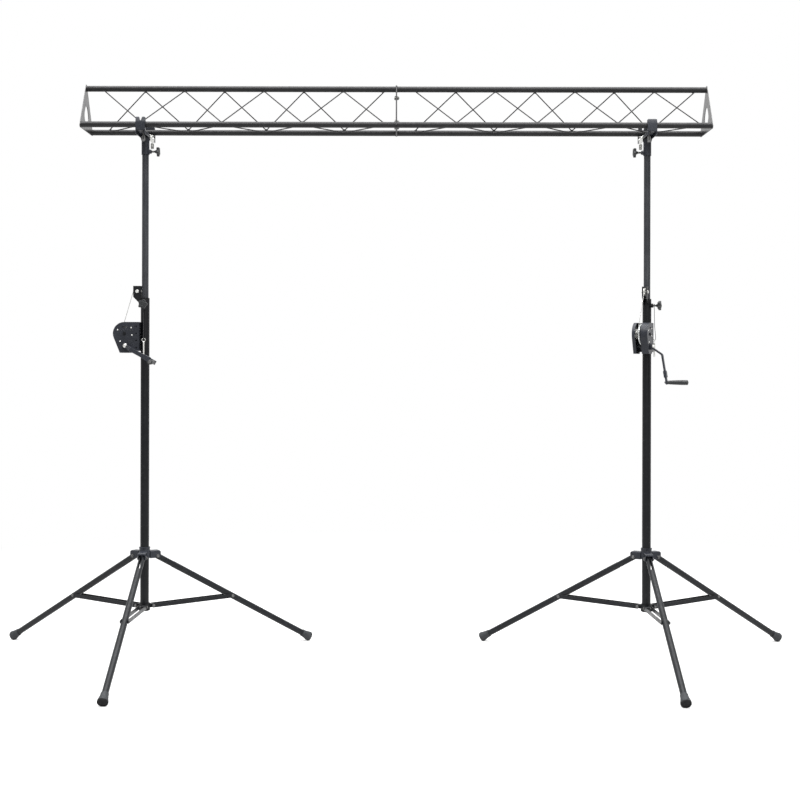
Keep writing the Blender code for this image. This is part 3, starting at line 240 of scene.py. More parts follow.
# Truss
SECTION_LENGTH = 1.5
CHORD_SPACING = 0.2216
TRUSS_INRADIUS = CHORD_SPACING * math.sqrt(3) / 6
CHORD_RADIUS = 0.014
CHORD_Z = 2.5634
END_PLATE = 0.003
END_PLATE_MARGIN = 0.0155
END_PLATE_CORNER = 0.011
END_WINDOW_REACH = 0.036
END_WINDOW_CORNER = 0.030
WEB_ROD_RADIUS = 0.00275
WEB_FIRST = 0.095
WEB_STEP = 0.1915
WEB_STATIONS = 8
WEB_BEND = 0.010
WEB_FACES = {"front": ("top", "front"), "rear": ("rear", "top"), "bottom": ("rear", "front")}
WELD_CREASE = math.radians(80)
WELD_BEAD = (0.0075, 0.0042, 0.0034)
JOINT_BOLT_INSET = 0.042

# Truss heads
SLEEVE_RADIUS = 0.019
SLEEVE_FOOT_Z = 2.437
SLEEVE_ROOF_Z = 2.5306
SLEEVE_TOP_Z = 2.5325
HEAD_CONE_Z = 2.503
CHANNEL_HALF = 0.0225
CHANNEL_REACH = 0.1333
CHANNEL_FLOOR_Z = 2.5164
CHANNEL_TOP_Z = 2.5364
CHANNEL_WALL = 0.004
HOOK_REACH = 0.024
HOOK_TOP = 0.035
HOOK_PLAIN_TOP = 0.029
HOOK_LIP = 0.002
HOOK_MOUTH = math.radians(38)
HOOK_NOTCH = 0.0164
HOOK_NOTCH_HALF = 0.0032
HOOK_NOTCH_LEAN = math.radians(15)
HOOK_SHOULDER = 0.007
HOOK_CREASE = math.radians(30)
KEEPER_SPAN = (-0.008, 0.086)
KEEPER_THICKNESS = 0.0022
KEEPER_BOLT_INSET = 0.012

# Clamp screws of the heads
SCREW_OFFSET = 0.012
SCREW_RADIUS = 0.004
SCREW_PITCH = 0.00125
SCREW_DROP = 0.054
SHOE_RADIUS = 0.010
SHOE_THICKNESS = 0.004
TAB_SIZE = (0.016, 0.003, 0.028)
TAB_LAP = 0.016


# --- places ---


def shift(x, y, z):
    return Matrix.Translation((x, y, z))


def mast_place(side):
    """The mast's axis, where it meets the floor."""
    low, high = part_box(f"inner_mast_{side}")
    return Vector(((low.x + high.x) / 2, (low.y + high.y) / 2, 0))


def about_mast(side, turn=0):
    return shift(*mast_place(side)) @ Matrix.Rotation(math.radians(turn), 4, "Z")


def upper_at(side, x, z):
    """A place on the stand's upper part, which carries the pulley and the winch."""
    return about_mast(side, UPPER_TURN[side]) @ shift(x, 0, z)


def crank_arm_at(side):
    """The crank's axis, with the arm along -Z."""
    lean = Matrix.Rotation(math.radians(-ARM_TURN[side]), 4, "Y")
    return upper_at(side, *CRANK_AXIS) @ lean


def placed(name, data):
    """An object for the data, in the scene."""
    thing = bpy.data.objects.new(name, data)
    bpy.context.scene.collection.objects.link(thing)
    return thing


def as_mesh(name, bm):
    mesh = bpy.data.meshes.new(name)
    bm.to_mesh(mesh)
    bm.free()
    return mesh


# --- shader nodes ---


def fed(node, inputs):
    """Gives a node's inputs their values, and links those that are another node's output."""
    for name, value in inputs.items():
        socket = node.inputs[name]
        if isinstance(value, bpy.types.NodeSocket):
            node.id_data.links.new(value, socket)
        else:
            socket.default_value = (*value, 1) if socket.type == "RGBA" else value
    return node


def new_node(nodes, kind, inputs, **settings):
    node = nodes.new(f"ShaderNode{kind}")
    for name, value in settings.items():
        setattr(node, name, value)
    return fed(node, inputs)


def object_place(nodes):
    return new_node(nodes, "TexCoord", {}).outputs["Object"]


def object_noise(nodes, scale, detail, stretch=(1, 1, 1)):
    """Noise on Object coordinates; a stretch below 1 draws the pattern out along that axis."""
    mapping = new_node(nodes, "Mapping", {"Vector": object_place(nodes), "Scale": stretch})
    inputs = {"Vector": mapping.outputs["Vector"], "Scale": scale, "Detail": detail}
    return new_node(nodes, "TexNoise", inputs).outputs["Fac"]


def remapped(nodes, value, low, high, to_low=0, to_high=1):
    """The value, with what lies between low and high spread from to_low to to_high."""
    ends = {"From Min": low, "From Max": high, "To Min": to_low, "To Max": to_high}
    return new_node(nodes, "MapRange", {"Value": value, **ends}).outputs["Result"]


def cloudy(nodes, scale, detail, low, high, to_low=0, to_high=1):
    """Noise, with what lies between low and high spread from to_low to to_high."""
    return remapped(nodes, object_noise(nodes, scale, detail), low, high, to_low, to_high)


def blended(nodes, share, first, second):
    """A colour between two, by a 0 to 1 share. Each is a colour or a node's output."""
    inputs = {"Factor": share, 6: first, 7: second}
    return new_node(nodes, "Mix", inputs, data_type="RGBA").outputs[2]


def bumped(nodes, height, strength, distance=0.0003):
    inputs = {"Strength": strength, "Distance": distance, "Height": height}
    return new_node(nodes, "Bump", inputs).outputs["Normal"]


def mixed_shader(nodes, share, first, second):
    inputs = {0: share, 1: first.outputs[0], 2: second.outputs[0]}
    return new_node(nodes, "MixShader", inputs).outputs[0]


def seen_directly(nodes):
    """1 for rays from the camera, from glossy surfaces and through clear ones, otherwise 0."""
    path = new_node(nodes, "LightPath", {}).outputs
    seen = path["Is Camera Ray"]
    for kind in ("Is Glossy Ray", "Is Transmission Ray"):
        seen = new_node(nodes, "Math", {0: seen, 1: path[kind]}, operation="MAXIMUM").outputs[0]
    return seen


def new_finish(name):
    finish = bpy.data.materials.new(name)
    finish.use_nodes = True
    nodes = finish.node_tree.nodes
    return finish, nodes, nodes["Principled BSDF"]


# --- camera, light and floor ---


def add_camera():
    """The view's camera, level and just above the middle of the stands."""
    camera = bpy.data.cameras.new("camera")
    camera.sensor_width = CAMERA_SENSOR
    camera.lens = CAMERA_LENS
    camera.shift_y = CAMERA_SHIFT
    viewer = placed("camera", camera)
    viewer.location = CAMERA_PLACE
    viewer.rotation_euler = [math.radians(angle) for angle in CAMERA_TURN]
    bpy.context.scene.camera = viewer


def add_lamp(name, place, size, power):
    """A soft box, turned towards the middle of the object."""
    lamp = bpy.data.lights.new(name, "AREA")
    lamp.shape = "RECTANGLE"
    lamp.size, lamp.size_y = size
    lamp.energy = power
    holder = placed(name, lamp)
    holder.location = place
    aim = Vector(LAMP_AIM) - Vector(place)
    holder.rotation_euler = aim.to_track_quat("-Z", "Y").to_euler()


def add_world():
    """Soft white light on the object, and full white where the world itself is seen."""
    world = bpy.data.worlds.new("studio")
    world.use_nodes = True
    nodes = world.node_tree.nodes
    light = fed(nodes["Background"], {"Color": WHITE, "Strength": WORLD_STRENGTH})
    white = new_node(nodes, "Background", {"Color": WHITE, "Strength": 1})
    fed(nodes["World Output"], {"Surface": mixed_shader(nodes, seen_directly(nodes), light, white)})
    bpy.context.scene.world = world


def add_floor():
    """A pale floor that keeps the shadows near the object and fades into the white further out."""
    bm = bmesh.new()
    bmesh.ops.create_grid(bm, x_segments=1, y_segments=1, size=FLOOR_SIZE)
    floor = placed("floor", as_mesh("floor", bm))
    paper, nodes, shader = new_finish("floor_paper")
    seen = seen_directly(nodes)
    glow = new_node(nodes, "Math", {0: seen, 1: FLOOR_GLOW}, operation="MULTIPLY")
    look = {
        "Base Color": FLOOR_COLOUR,
        "Roughness": FLOOR_ROUGHNESS,
        "Specular IOR Level": FLOOR_GLOSS,
        "Emission Color": WHITE,
        "Emission Strength": glow.outputs[0],
    }
    fed(shader, look)
    far = new_node(nodes, "Emission", {"Color": WHITE, "Strength": seen})
    reach = new_node(nodes, "VectorMath", {0: object_place(nodes)}, operation="LENGTH")
    fade = remapped(nodes, reach.outputs["Value"], *FLOOR_FADE)
    fed(nodes["Material Output"], {"Surface": mixed_shader(nodes, fade, shader, far)})
    floor.data.materials.append(paper)


# --- finishes: each recipe gives the inputs of the shader ---

# Noise: its scale and detail, the band of values that counts, and what that band is spread to
PAINT_CLOUD = (9, 4, 0.35, 0.65)
PAINT_DUST = (55, 6, 0.56, 0.80, 0, 0.55)
PAINT_SHEEN = (38, 5, 0.3, 0.7)
TUBE_CLOUD = (12, 4, 0.35, 0.65)
ZINC_CLOUD = (120, 5, 0.38, 0.68)
ZINC_SHEEN = (210, 4, 0.3, 0.7)
MOULD_CLOUD = (70, 5, 0.35, 0.70)
MOULD_SHEEN = (160, 3, 0.3, 0.7)
STRAND_SHEEN = (300, 3, 0.3, 0.7)
ORANGE_PEEL = 900
ZINC_GRAIN = 1600
RUB_STRETCH = (1, 1, 0.02)
WAVE_LENGTH = 0.314


def powder_coat(nodes, colour, light, dust, roughness, grain, gloss):
    """Baked paint: cloudy colour, patches of dust and a fine orange peel."""
    cloud = cloudy(nodes, *PAINT_CLOUD)
    patches = cloudy(nodes, *PAINT_DUST)
    return {
        "Base Color": blended(nodes, patches, blended(nodes, cloud, colour, light), dust),
        "Roughness": cloudy(nodes, *PAINT_SHEEN, *roughness),
        "Specular IOR Level": gloss,
        "Normal": bumped(nodes, object_noise(nodes, grain, 2), 0.22),
    }


def rubbed_coat(nodes, colour, light, streak, gloss):
    """Paint on a sliding tube, with lengthwise rub marks that shine a little more."""
    cloud = cloudy(nodes, *TUBE_CLOUD)
    marks = remapped(nodes, object_noise(nodes, 260, 3, RUB_STRETCH), 0.56, 0.74, 0, 0.7)
    return {
        "Base Color": blended(nodes, marks, blended(nodes, cloud, colour, light), streak),
        "Roughness": remapped(nodes, marks, 0, 0.7, 0.42, 0.30),
        "Specular IOR Level": gloss,
        "Normal": bumped(nodes, object_noise(nodes, ORANGE_PEEL, 2), 0.18),
    }


def plated_steel(nodes, colour, dull, roughness):
    """Zinc plate: cloudy brightness, grey bloom and fine grain."""
    cloud = cloudy(nodes, *ZINC_CLOUD)
    return {
        "Base Color": blended(nodes, cloud, colour, dull),
        "Roughness": cloudy(nodes, *ZINC_SHEEN, *roughness),
        "Metallic": 1,
        "Normal": bumped(nodes, object_noise(nodes, ZINC_GRAIN, 2), 0.10, 0.0002),
    }


def moulded(nodes, colour, light, roughness, grain, depth):
    """Moulded plastic or rubber with an even fine grain."""
    cloud = cloudy(nodes, *MOULD_CLOUD)
    return {
        "Base Color": blended(nodes, cloud, colour, light),
        "Roughness": cloudy(nodes, *MOULD_SHEEN, *roughness),
        "Specular IOR Level": 0.3,
        "Normal": bumped(nodes, object_noise(nodes, grain, 2), depth),
    }


def twisted(nodes, colour, dark, metallic, roughness, pitch, lean):
    """Strands laid slantwise, with painted shade darkening the grooves between them: wire rope, or
    the braid of a thin cord.
    """
    slant = (math.radians(lean), math.radians(lean), 0)
    mapping = new_node(nodes, "Mapping", {"Vector": object_place(nodes), "Rotation": slant})
    scale = WAVE_LENGTH / pitch
    inputs = {"Vector": mapping.outputs["Vector"], "Scale": scale, "Distortion": 0.4}
    strands = new_node(nodes, "TexWave", inputs, bands_direction="Z").outputs["Fac"]
    return {
        # The grooves between the strands are painted darker, as painted shade
        "Base Color": blended(nodes, strands, dark, colour),
        "Roughness": cloudy(nodes, *STRAND_SHEEN, *roughness),
        "Metallic": metallic,
        "Normal": bumped(nodes, strands, 0.6, 0.0004),
    }


FINISH_RECIPES = {
    # Colour, its lighter clouds, dust, roughness, grain and gloss
    powder_coat: {
        "black_paint": (
            (0.004, 0.0045, 0.0056), (0.0065, 0.0071, 0.0084), (0.026, 0.027, 0.029),
            (0.28, 0.42), ORANGE_PEEL, 0.17,
        ),
        "leg_paint": (
            (0.0070, 0.0079, 0.0096), (0.0115, 0.0128, 0.0152), (0.040, 0.042, 0.046),
            (0.30, 0.44), ORANGE_PEEL, 0.20,
        ),
        "cast_paint": (
            (0.0185, 0.0205, 0.0265), (0.028, 0.031, 0.0395), (0.060, 0.064, 0.073),
            (0.28, 0.42), 420, 0.22,
        ),
        "truss_paint": (
            (0.009, 0.009, 0.010), (0.014, 0.014, 0.015), (0.040, 0.040, 0.041),
            (0.36, 0.50), ORANGE_PEEL, 0.25,
        ),
        # The outer end plates: the truss's paint, painted lighter as a painted reflection
        "plate_paint_painted_reflection": (
            (0.020, 0.020, 0.021), (0.030, 0.030, 0.031), (0.055, 0.055, 0.056),
            (0.18, 0.28), ORANGE_PEEL, 0.75,
        ),
    },
    # Colour, its lighter clouds, rub marks and gloss
    rubbed_coat: {
        "inner_paint": ((0.022, 0.024, 0.028), (0.034, 0.036, 0.041), (0.085, 0.088, 0.092), 0.25),
    },
    # Colour, its dull clouds and roughness
    plated_steel: {
        "zinc": ((0.72, 0.72, 0.70), (0.50, 0.50, 0.47), (0.22, 0.42)),
        "dull_zinc": ((0.21, 0.21, 0.205), (0.12, 0.12, 0.115), (0.35, 0.55)),
        "dark_steel": ((0.15, 0.15, 0.15), (0.08, 0.08, 0.08), (0.35, 0.55)),
        "gear_steel": ((0.55, 0.56, 0.56), (0.38, 0.39, 0.39), (0.30, 0.50)),
    },
    # Colour, its lighter clouds, roughness, grain and depth of grain
    moulded: {
        "rubber": ((0.026, 0.028, 0.031), (0.040, 0.043, 0.047), (0.50, 0.68), 700, 0.25),
        # The sole's rubber: rougher where worn, and painted darker as painted shade under the foot
        "worn_rubber_painted_shade": ((0.010, 0.010, 0.011), (0.018, 0.018, 0.019), (0.80, 0.95), 500, 0.5),
        "black_plastic": ((0.018, 0.020, 0.021), (0.027, 0.029, 0.030), (0.34, 0.50), 1400, 0.25),
    },
    # Colour, painted shade in the grooves, metallic, roughness, pitch and slant
    twisted: {
        "steel_cable": ((0.60, 0.60, 0.58), (0.22, 0.22, 0.21), 1, (0.30, 0.45), 0.0022, 35),
        "black_cord": ((0.040, 0.040, 0.042), (0.016, 0.016, 0.018), 0, (0.75, 0.9), 0.0014, 40),
    },
}
FINISH = {}
for recipe, finishes in FINISH_RECIPES.items():
    for name, values in finishes.items():
        FINISH[name], nodes, shader = new_finish(name)
        fed(shader, recipe(nodes, *values))


# --- pieces ---


def riding(name, data, body):
    """A piece that rides on a body."""
    piece = placed(name, data)
    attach(piece, body)
    return piece


def done(name, bm, finish, body, crease=CREASE):
    """Makes the mesh a piece, smooth up to its creases."""
    mesh = as_mesh(name, bm)
    mesh.shade_smooth()
    mesh.set_sharp_from_angle(angle=crease)
    mesh.materials.append(FINISH[finish])
    piece = riding(name, mesh, body)
    piece.modifiers.new("even_shading", "WEIGHTED_NORMAL").keep_sharp = True
    return piece


def made(name, shapes, finish, body, crease=CREASE, replaces=None):
    """Puts shapes at their places and makes them one piece, which may stand for a solid."""
    bm = bmesh.new()
    for shape, place in shapes:
        mesh = as_mesh("shape", moved(shape, place))
        bm.from_mesh(mesh)
        bpy.data.meshes.remove(mesh)
    piece = done(name, bm, finish, body, crease)
    if replaces:
        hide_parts(replaces)


def softened(node, finish, rim):
    """A piece in place of a solid: the same surface, closed up, its hard edges a little rounded."""
    bm = bmesh.new()
    bm.from_mesh(frame["nodes"][node].data)
    bmesh.ops.remove_doubles(bm, verts=bm.verts, dist=MERGE)
    bmesh.ops.dissolve_limit(bm, angle_limit=FLAT, verts=bm.verts, edges=bm.edges)
    body = frame["nodes"][node]["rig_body"]
    piece = done(f"{node}_shell", eased(bm, rim), finish, body)
    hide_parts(node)


def finish_solid(node, finish):
    """A solid that stays as it is takes the finish on all its faces."""
    node.data.materials.clear()
    node.data.materials.append(FINISH[finish])


def curve_piece(name, points, radius, finish, body, resolution=3):
    """A wire, rod or cord along a list of points."""
    curve = bpy.data.curves.new(name, "CURVE")
    curve.dimensions = "3D"
    curve.bevel_depth = radius
    curve.bevel_resolution = resolution
    curve.use_fill_caps = True
    spline = curve.splines.new("POLY")
    spline.points.add(len(points) - 1)
    for point, place in zip(spline.points, points):
        point.co = (*place, 1)
    spline.use_smooth = True
    curve.materials.append(FINISH[finish])
    return riding(name, curve, body)


def smooth_route(route, steps):
    """Points on the Catmull-Rom curve through a route."""
    route = [Vector(point) for point in route]
    ends = [2 * route[0] - route[1], *route, 2 * route[-1] - route[-2]]
    points = []
    for index in range(1, len(ends) - 2):
        before, start, stop, after = ends[index - 1 : index + 3]
        for step in range(steps):
            t = step / steps
            turn = t * t * (before - 2.5 * start + 2 * stop - 0.5 * after)
            bend = t * t * t * (1.5 * (start - stop) + 0.5 * (after - before))
            points.append(start + 0.5 * t * (stop - before) + turn + bend)
    points.append(route[-1])
    return points


# --- shapes ---


def closed(bm):
    """Doubles merged and faces turned outwards."""
    bmesh.ops.remove_doubles(bm, verts=bm.verts, dist=MERGE)
    bmesh.ops.recalc_face_normals(bm, faces=bm.faces)
    return bm


def moved(bm, place):
    bmesh.ops.transform(bm, matrix=place, verts=bm.verts)
    return bm


def eased(bm, rim, segments=2, angle=CREASE):
    """Rounds the hard edges."""
    hard = [edge for edge in bm.edges if edge.is_manifold and edge.calc_face_angle() > angle]
    bmesh.ops.bevel(
        bm,
        geom=hard,
        offset=rim,
        segments=segments,
        profile=0.5,
        affect="EDGES",
        clamp_overlap=True,
        material=-1,
    )
    return bm


def turning(profile, steps=ROUND):
    """A profile spun about Z. One that starts off the axis closes on itself."""
    bm = bmesh.new()
    points = [bm.verts.new((radius, 0, height)) for radius, height in profile]
    lines = [bm.edges.new(pair) for pair in zip(points, points[1:])]
    if profile[0][0] > 0:
        lines.append(bm.edges.new((points[-1], points[0])))
    bmesh.ops.spin(
        bm,
        geom=points + lines,
        cent=(0, 0, 0),
        axis=(0, 0, 1),
        angle=math.tau,
        steps=steps,
        use_merge=True,
    )
    return closed(bm)


def lifted(profile, rise):
    return [(radius, rise + height) for radius, height in profile]


def pulled(bm, height):
    """Flat faces pulled up along Z into a solid."""
    raised = bmesh.ops.extrude_face_region(bm, geom=bm.faces[:])
    top = [item for item in raised["geom"] if isinstance(item, bmesh.types.BMVert)]
    bmesh.ops.translate(bm, vec=(0, 0, height), verts=top)
    return closed(bm)


def prism(outline, low, high, rim=0.0, segments=2):
    """A flat outline of (x, y) pulled from one height to another."""
    bm = bmesh.new()
    bm.faces.new([bm.verts.new((x, y, low)) for x, y in outline])
    pulled(bm, high - low)
    return eased(bm, rim, segments) if rim else bm


def windowed_plate(outer, inner, low, high, rim):
    """A plate between two outlines of (x, y), the inner one open."""
    bm = bmesh.new()
    lines = []
    for outline in (outer, inner):
        points = [bm.verts.new((x, y, low)) for x, y in outline]
        lines += [bm.edges.new(pair) for pair in zip(points, points[1:] + points[:1])]
    bmesh.ops.bridge_loops(bm, edges=lines)
    return eased(pulled(bm, high - low), rim)


def sliced(bm, point, normal):
    """Cuts away what lies beyond a plane, on the side its normal points to, and closes the cut."""
    whole = bm.verts[:] + bm.edges[:] + bm.faces[:]
    cut = bmesh.ops.bisect_plane(
        bm, geom=whole, dist=MERGE, plane_co=point, plane_no=normal, clear_outer=True
    )
    rim = [item for item in cut["geom_cut"] if isinstance(item, bmesh.types.BMEdge)]
    bmesh.ops.holes_fill(bm, edges=rim, sides=0)
    return closed(bm)


def corner_rounded(bm, centre, radius, angles):
    """Slices a corner to a round about an axis along Y, through (x, z), at angles in degrees."""
    for angle in angles:
        turn = math.radians(angle)
        normal = Vector((math.cos(turn), 0, math.sin(turn)))
        sliced(bm, Vector((centre[0], 0, centre[1])) + normal * radius, normal)
    return bm


def bar(start, end, radius, sides, rim=0.0):
    """A round bar between two points."""
    start = Vector(start)
    along = Vector(end) - start
    bm = bmesh.new()
    bmesh.ops.create_cone(
        bm, cap_ends=True, segments=sides, radius1=radius, radius2=radius, depth=along.length
    )
    if rim:
        eased(bm, rim)
    turn = along.to_track_quat("Z", "Y").to_matrix().to_4x4()
    return moved(bm, shift(*(start + along / 2)) @ turn)


def thread(radius, low, high, pitch):
    """Profile of a threaded length, from low to high."""
    depth = pitch * 0.5
    points = []
    for turn in range(int((high - low) / pitch)):
        points += [(radius - depth, low + pitch * turn), (radius, low + pitch * (turn + 0.5))]
    return [*points, (radius - depth, high)]


def hexagon(across, height):
    """A hexagonal head or nut on z = 0."""
    bm = bmesh.new()
    radius = across / math.sqrt(3)
    bmesh.ops.create_cone(
        bm, cap_ends=True, segments=6, radius1=radius, radius2=radius, depth=height
    )
    bmesh.ops.translate(bm, vec=(0, 0, height / 2), verts=bm.verts)
    return eased(bm, 0.0007, 3)


def washer(across, height):
    """The washer that a head or nut of this size stands on."""
    bore, radius, rim = across * 0.2, across * 0.62, height * 0.3
    profile = [(bore, 0), (radius - rim, 0), (radius, rim)]
    profile += [(radius, height - rim), (radius - rim, height), (bore, height)]
    return turning(profile, COARSE), Matrix()


def bolt_head(across, height, washer_height):
    """Washer and hexagonal head, standing on z = 0."""
    head = hexagon(across, height), shift(0, 0, washer_height)
    return [washer(across, washer_height), head]


def lock_nut(across, height, washer_height):
    """Washer, nut with a rounded collar, and the bolt's threaded end, standing on z = 0."""
    bolt = across * 0.3
    top = washer_height + height
    collar = [(0, top * 0.5), (across * 0.46, top * 0.5), (across * 0.46, top * 0.86)]
    collar += [(across * 0.38, top), (bolt * 1.08, top), (bolt * 1.02, top - 0.0006)]
    collar.append((0, top - 0.0006))
    low, high = top - 0.001, top + 0.0015
    end = [(0, low), *thread(bolt, low, high, BOLT_PITCH), (0, high + 0.0004)]
    return [
        washer(across, washer_height),
        (hexagon(across, height * 0.72), shift(0, 0, washer_height)),
        (turning(collar, COARSE), Matrix()),
        (turning(end, SMALL), Matrix()),
    ]


def at(place, shapes):
    """Every shape moved along by one more place."""
    return [(shape, place @ own) for shape, own in shapes]


def bolted(place, reach, head, nut):
    """A head and a nut on the -Y and +Y sides of a place, each this far out."""
    front = at(place @ shift(0, -reach, 0) @ UPRIGHT, bolt_head(*head))
    return front + at(place @ shift(0, reach, 0) @ BACKWARD, lock_nut(*nut))


def arc(centre, radius, first, last, steps):
    """Points on an arc, angles in degrees."""
    points = []
    for step in range(steps + 1):
        angle = math.radians(first + (last - first) * step / steps)
        points.append(Vector(centre) + radius * Vector((math.cos(angle), math.sin(angle))))
    return points


def rounded(points, radius, steps, closed_path=False):
    """The path with each corner made an arc of this radius. An open path keeps its two ends."""
    points = [Vector(point) for point in points]
    path = []
    for index, corner in enumerate(points):
        if not closed_path and index in (0, len(points) - 1):
            path.append(corner)
            continue
        before = (points[index - 1] - corner).normalized()
        after = (points[(index + 1) % len(points)] - corner).normalized()
        half = before.angle(after) / 2
        middle = (before + after).normalized()
        centre = corner + middle * radius / math.sin(half)
        sweep = math.pi / 2 - half
        side = (before - middle * before.dot(middle)).normalized()
        for step in range(steps + 1):
            angle = sweep * (1 - 2 * step / steps)
            along = side * radius * math.sin(angle)
            path.append(centre - middle * radius * math.cos(angle) + along)
    return path


def arch(half, low, high, radius, steps):
    """Outline of an upside-down U, open below, with its two upper corners round."""
    return rounded([(-half, low), (-half, high), (half, high), (half, low)], radius, steps)


def strip(path, half):
    """Outline of a bar of even thickness along a flat path."""
    left = []
    right = []
    for index, point in enumerate(path):
        along = path[min(index + 1, len(path) - 1)] - path[max(index - 1, 0)]
        side = Vector((-along.y, along.x)).normalized() * half
        left.append(point + side)
        right.append(point - side)
    return left + right[::-1]


# --- lanyards and their pins ---


def lanyard(side):
    """Thin cord that loops over the mast knob's stem and passes under the pin's ring."""
    loop = KNOB_STEM_RADIUS + LANYARD_RADIUS + 2 * GAP
    ring_top = PIN_TOP_Z + 2 * RING_RADIUS
    hook_z = ring_top - RING_WIRE_RADIUS - LANYARD_RADIUS - 3 * GAP + LANYARD_HOOK
    drop = MAST_KNOB_Z - ring_top
    route = []
    for angle in range(-75, 151, 45):
        turn = math.radians(angle)
        slip = LANYARD_SLIP * (1 - (angle + 75) / 225)
        route.append((loop * math.cos(turn), slip, MAST_KNOB_Z + loop * math.sin(turn)))
    route += [(loop * out, 0, MAST_KNOB_Z - drop * down) for out, down in LANYARD_FALL]
    route += [(0, -0.001, MAST_KNOB_Z - drop * 0.61), (0, -LANYARD_HOOK * 0.9, hook_z + 0.012)]
    for angle in range(190, 371, 30):
        turn = math.radians(angle)
        route.append((0, LANYARD_HOOK * math.cos(turn), hook_z + LANYARD_HOOK * math.sin(turn)))
    place = about_mast(side, UPPER_TURN[side]) @ shift(0, -LANYARD_REACH, 0)
    points = [place @ point for point in smooth_route(route, 4)]
    name, weave = f"lanyard_cord_{side}", "black_cord"
    cord = curve_piece(name, points, LANYARD_RADIUS, weave, f"{side}_mast", 4)
    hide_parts(f"lanyard_{side}")
    pin = frame["nodes"][f"safety_pin_{side}"]
    finish_solid(pin, "zinc")


# --- feet, legs and braces ---


def leg_place(side, index):
    """The leg's pivot, with the leg along -Z."""
    pivot = shift(LEG_PIVOT[0], 0, LEG_PIVOT[1])
    return about_mast(side, LEG_AZIMUTHS[index]) @ pivot @ Matrix.Rotation(-LEG_ANGLE, 4, "Y")


def leg(side, index):
    """Round tube whose upper end is slotted into two curved cheeks around the pivot."""
    place = leg_place(side, index)
    end = -LEG_LENGTH + LEG_SHORTFALL
    top = -FORK_LENGTH
    shapes = [(turning([(0, top), (LEG_RADIUS, top), (LEG_RADIUS, end), (0, end)], FINE), place)]
    inner = LEG_RADIUS - FORK_WALL
    low = top - 0.004
    wall = [(inner, FORK_TIP), (LEG_RADIUS, FORK_TIP), (LEG_RADIUS, low), (inner, low)]
    for hand in (-1, 1):
        cheek = turning(wall, FINE)
        sliced(cheek, (0, hand * FORK_HALF_SLOT, 0), (0, -hand, 0))
        corner_rounded(cheek, (0, 0), FORK_ROUND, FORK_CUTS)
        shapes.append((sliced(eased(cheek, 0.0005), (0, 0, top), (0, 0, -1)), place))
    name = f"leg_{side}_{index}"
    made(f"leg_tube_{side}_{index}", shapes, "leg_paint", name, replaces=name)


def foot(side, index):
    """Rubber boot with a rolled mouth, flared to a dished sole painted darker as painted shade,
    worn flat where it stands.
    """
    inner = LEG_RADIUS + GAP
    boot = [(0, 0.009), (inner, 0.009), (inner, 0.0512), (inner + 0.0006, 0.052)]
    boot += [(0.0172, 0.052), (0.0178, 0.0514), (0.0179, 0.0486), (0.0176, 0.0478)]
    boot += [(0.0179, 0.042), (0.0189, 0.034), (0.0205, 0.025), (0.0222, 0.017)]
    boot += [(0.0234, 0.0125), (0.0235, 0.0118), (0.0231, 0.0112), (0.0231, 0.0104)]
    boot += [(0.0235, 0.0098), (0.0240, 0.0090), (0.0241, 0.0040), (0, 0.0040)]
    sole = [(0, 0.0045), (0.0239, 0.0045), (0.0237, 0.0017), (0.0222, 0), (0.0196, 0)]
    sole += [(0.0186, 0.0016), (0.0120, 0.0016), (0.0110, 0.0004), (0.0072, 0.0004)]
    sole += [(0.0062, 0.0016), (0, 0.0016)]
    for name, profile, finish, replaces in (
        ("boot", boot, "rubber", f"foot_{side}_{index}"),
        # The sole is painted darker, as painted shade under the foot
        ("sole", sole, "worn_rubber_painted_shade", None),
    ):
        shape = moved(turning(lifted(profile, -LEG_LENGTH), FINE), leg_place(side, index))
        shapes = [(sliced(shape, (0, 0, SOLE_WEAR), (0, 0, -1)), Matrix())]
        body = f"leg_{side}_{index}"
        made(f"{name}_{side}_{index}", shapes, finish, body, replaces=replaces)


def leg_slider(side):
    """Cast collar with three hooded pockets for the legs and a boss for its knob."""
    middle = about_mast(side)
    low, high = POCKET_FLOOR_Z, POCKET_TOP_Z
    bore, rim = OUTER_RADIUS + GAP, HUB_RADIUS
    foot_z, top_z = HUB_FOOT_Z, HUB_TOP_Z
    ring = [(bore, foot_z), (rim - 0.0008, foot_z), (rim, foot_z + 0.0008), (rim, high + 0.0010)]
    ring += [(rim - 0.0012, high + 0.0028), (rim - 0.0016, high + 0.0050)]
    ring += [(rim - 0.0016, top_z - 0.0062), (rim - 0.0004, top_z - 0.0048)]
    ring += [(rim, top_z - 0.0040), (rim, top_z - 0.0010), (rim - 0.0010, top_z), (bore, top_z)]
    shapes = [(turning(ring, FINE), middle)]
    root = HUB_RADIUS + POCKET_WALL
    hood = arch(POCKET_HALF, low, high, *POCKET_CORNER)
    hollow = arch(POCKET_HALF - POCKET_WALL, low, POCKET_ROOF_Z, *HOLLOW_CORNER)[::-1]
    nose = (POCKET_REACH - POCKET_NOSE, high - POCKET_NOSE)
    toe = (POCKET_REACH - POCKET_TOE, low + POCKET_TOE)
    for azimuth in LEG_AZIMUTHS.values():
        spoke = about_mast(side, azimuth)
        pocket = moved(prism(hood + hollow, root - 0.0002, POCKET_REACH), OUTWARD)
        corner_rounded(pocket, nose, POCKET_NOSE, QUARTER)
        corner_rounded(pocket, toe, POCKET_TOE, TOE_CUTS)
        shapes.append((eased(pocket, 0.0008), spoke))
        shapes.append((prism(hood, OUTER_RADIUS + 0.002, root), spoke @ OUTWARD))
    foot_y, face_y = HUB_RADIUS - 0.004, HUB_BOSS_REACH
    boss = [(0, foot_y), (0.0112, foot_y), (0.0104, HUB_RADIUS + 0.0010)]
    boss += [(0.0100, HUB_RADIUS + 0.0035), (0.0100, face_y - 0.0008), (0.0092, face_y)]
    boss.append((0, face_y))
    shapes.append((turning(boss), middle @ shift(0, 0, HUB_MIDDLE_Z) @ BACKWARD))
    name = f"leg_hub_{side}"
    body = f"hub_{side}"
    made(f"leg_slider_{side}", shapes, "cast_paint", body, replaces=name)


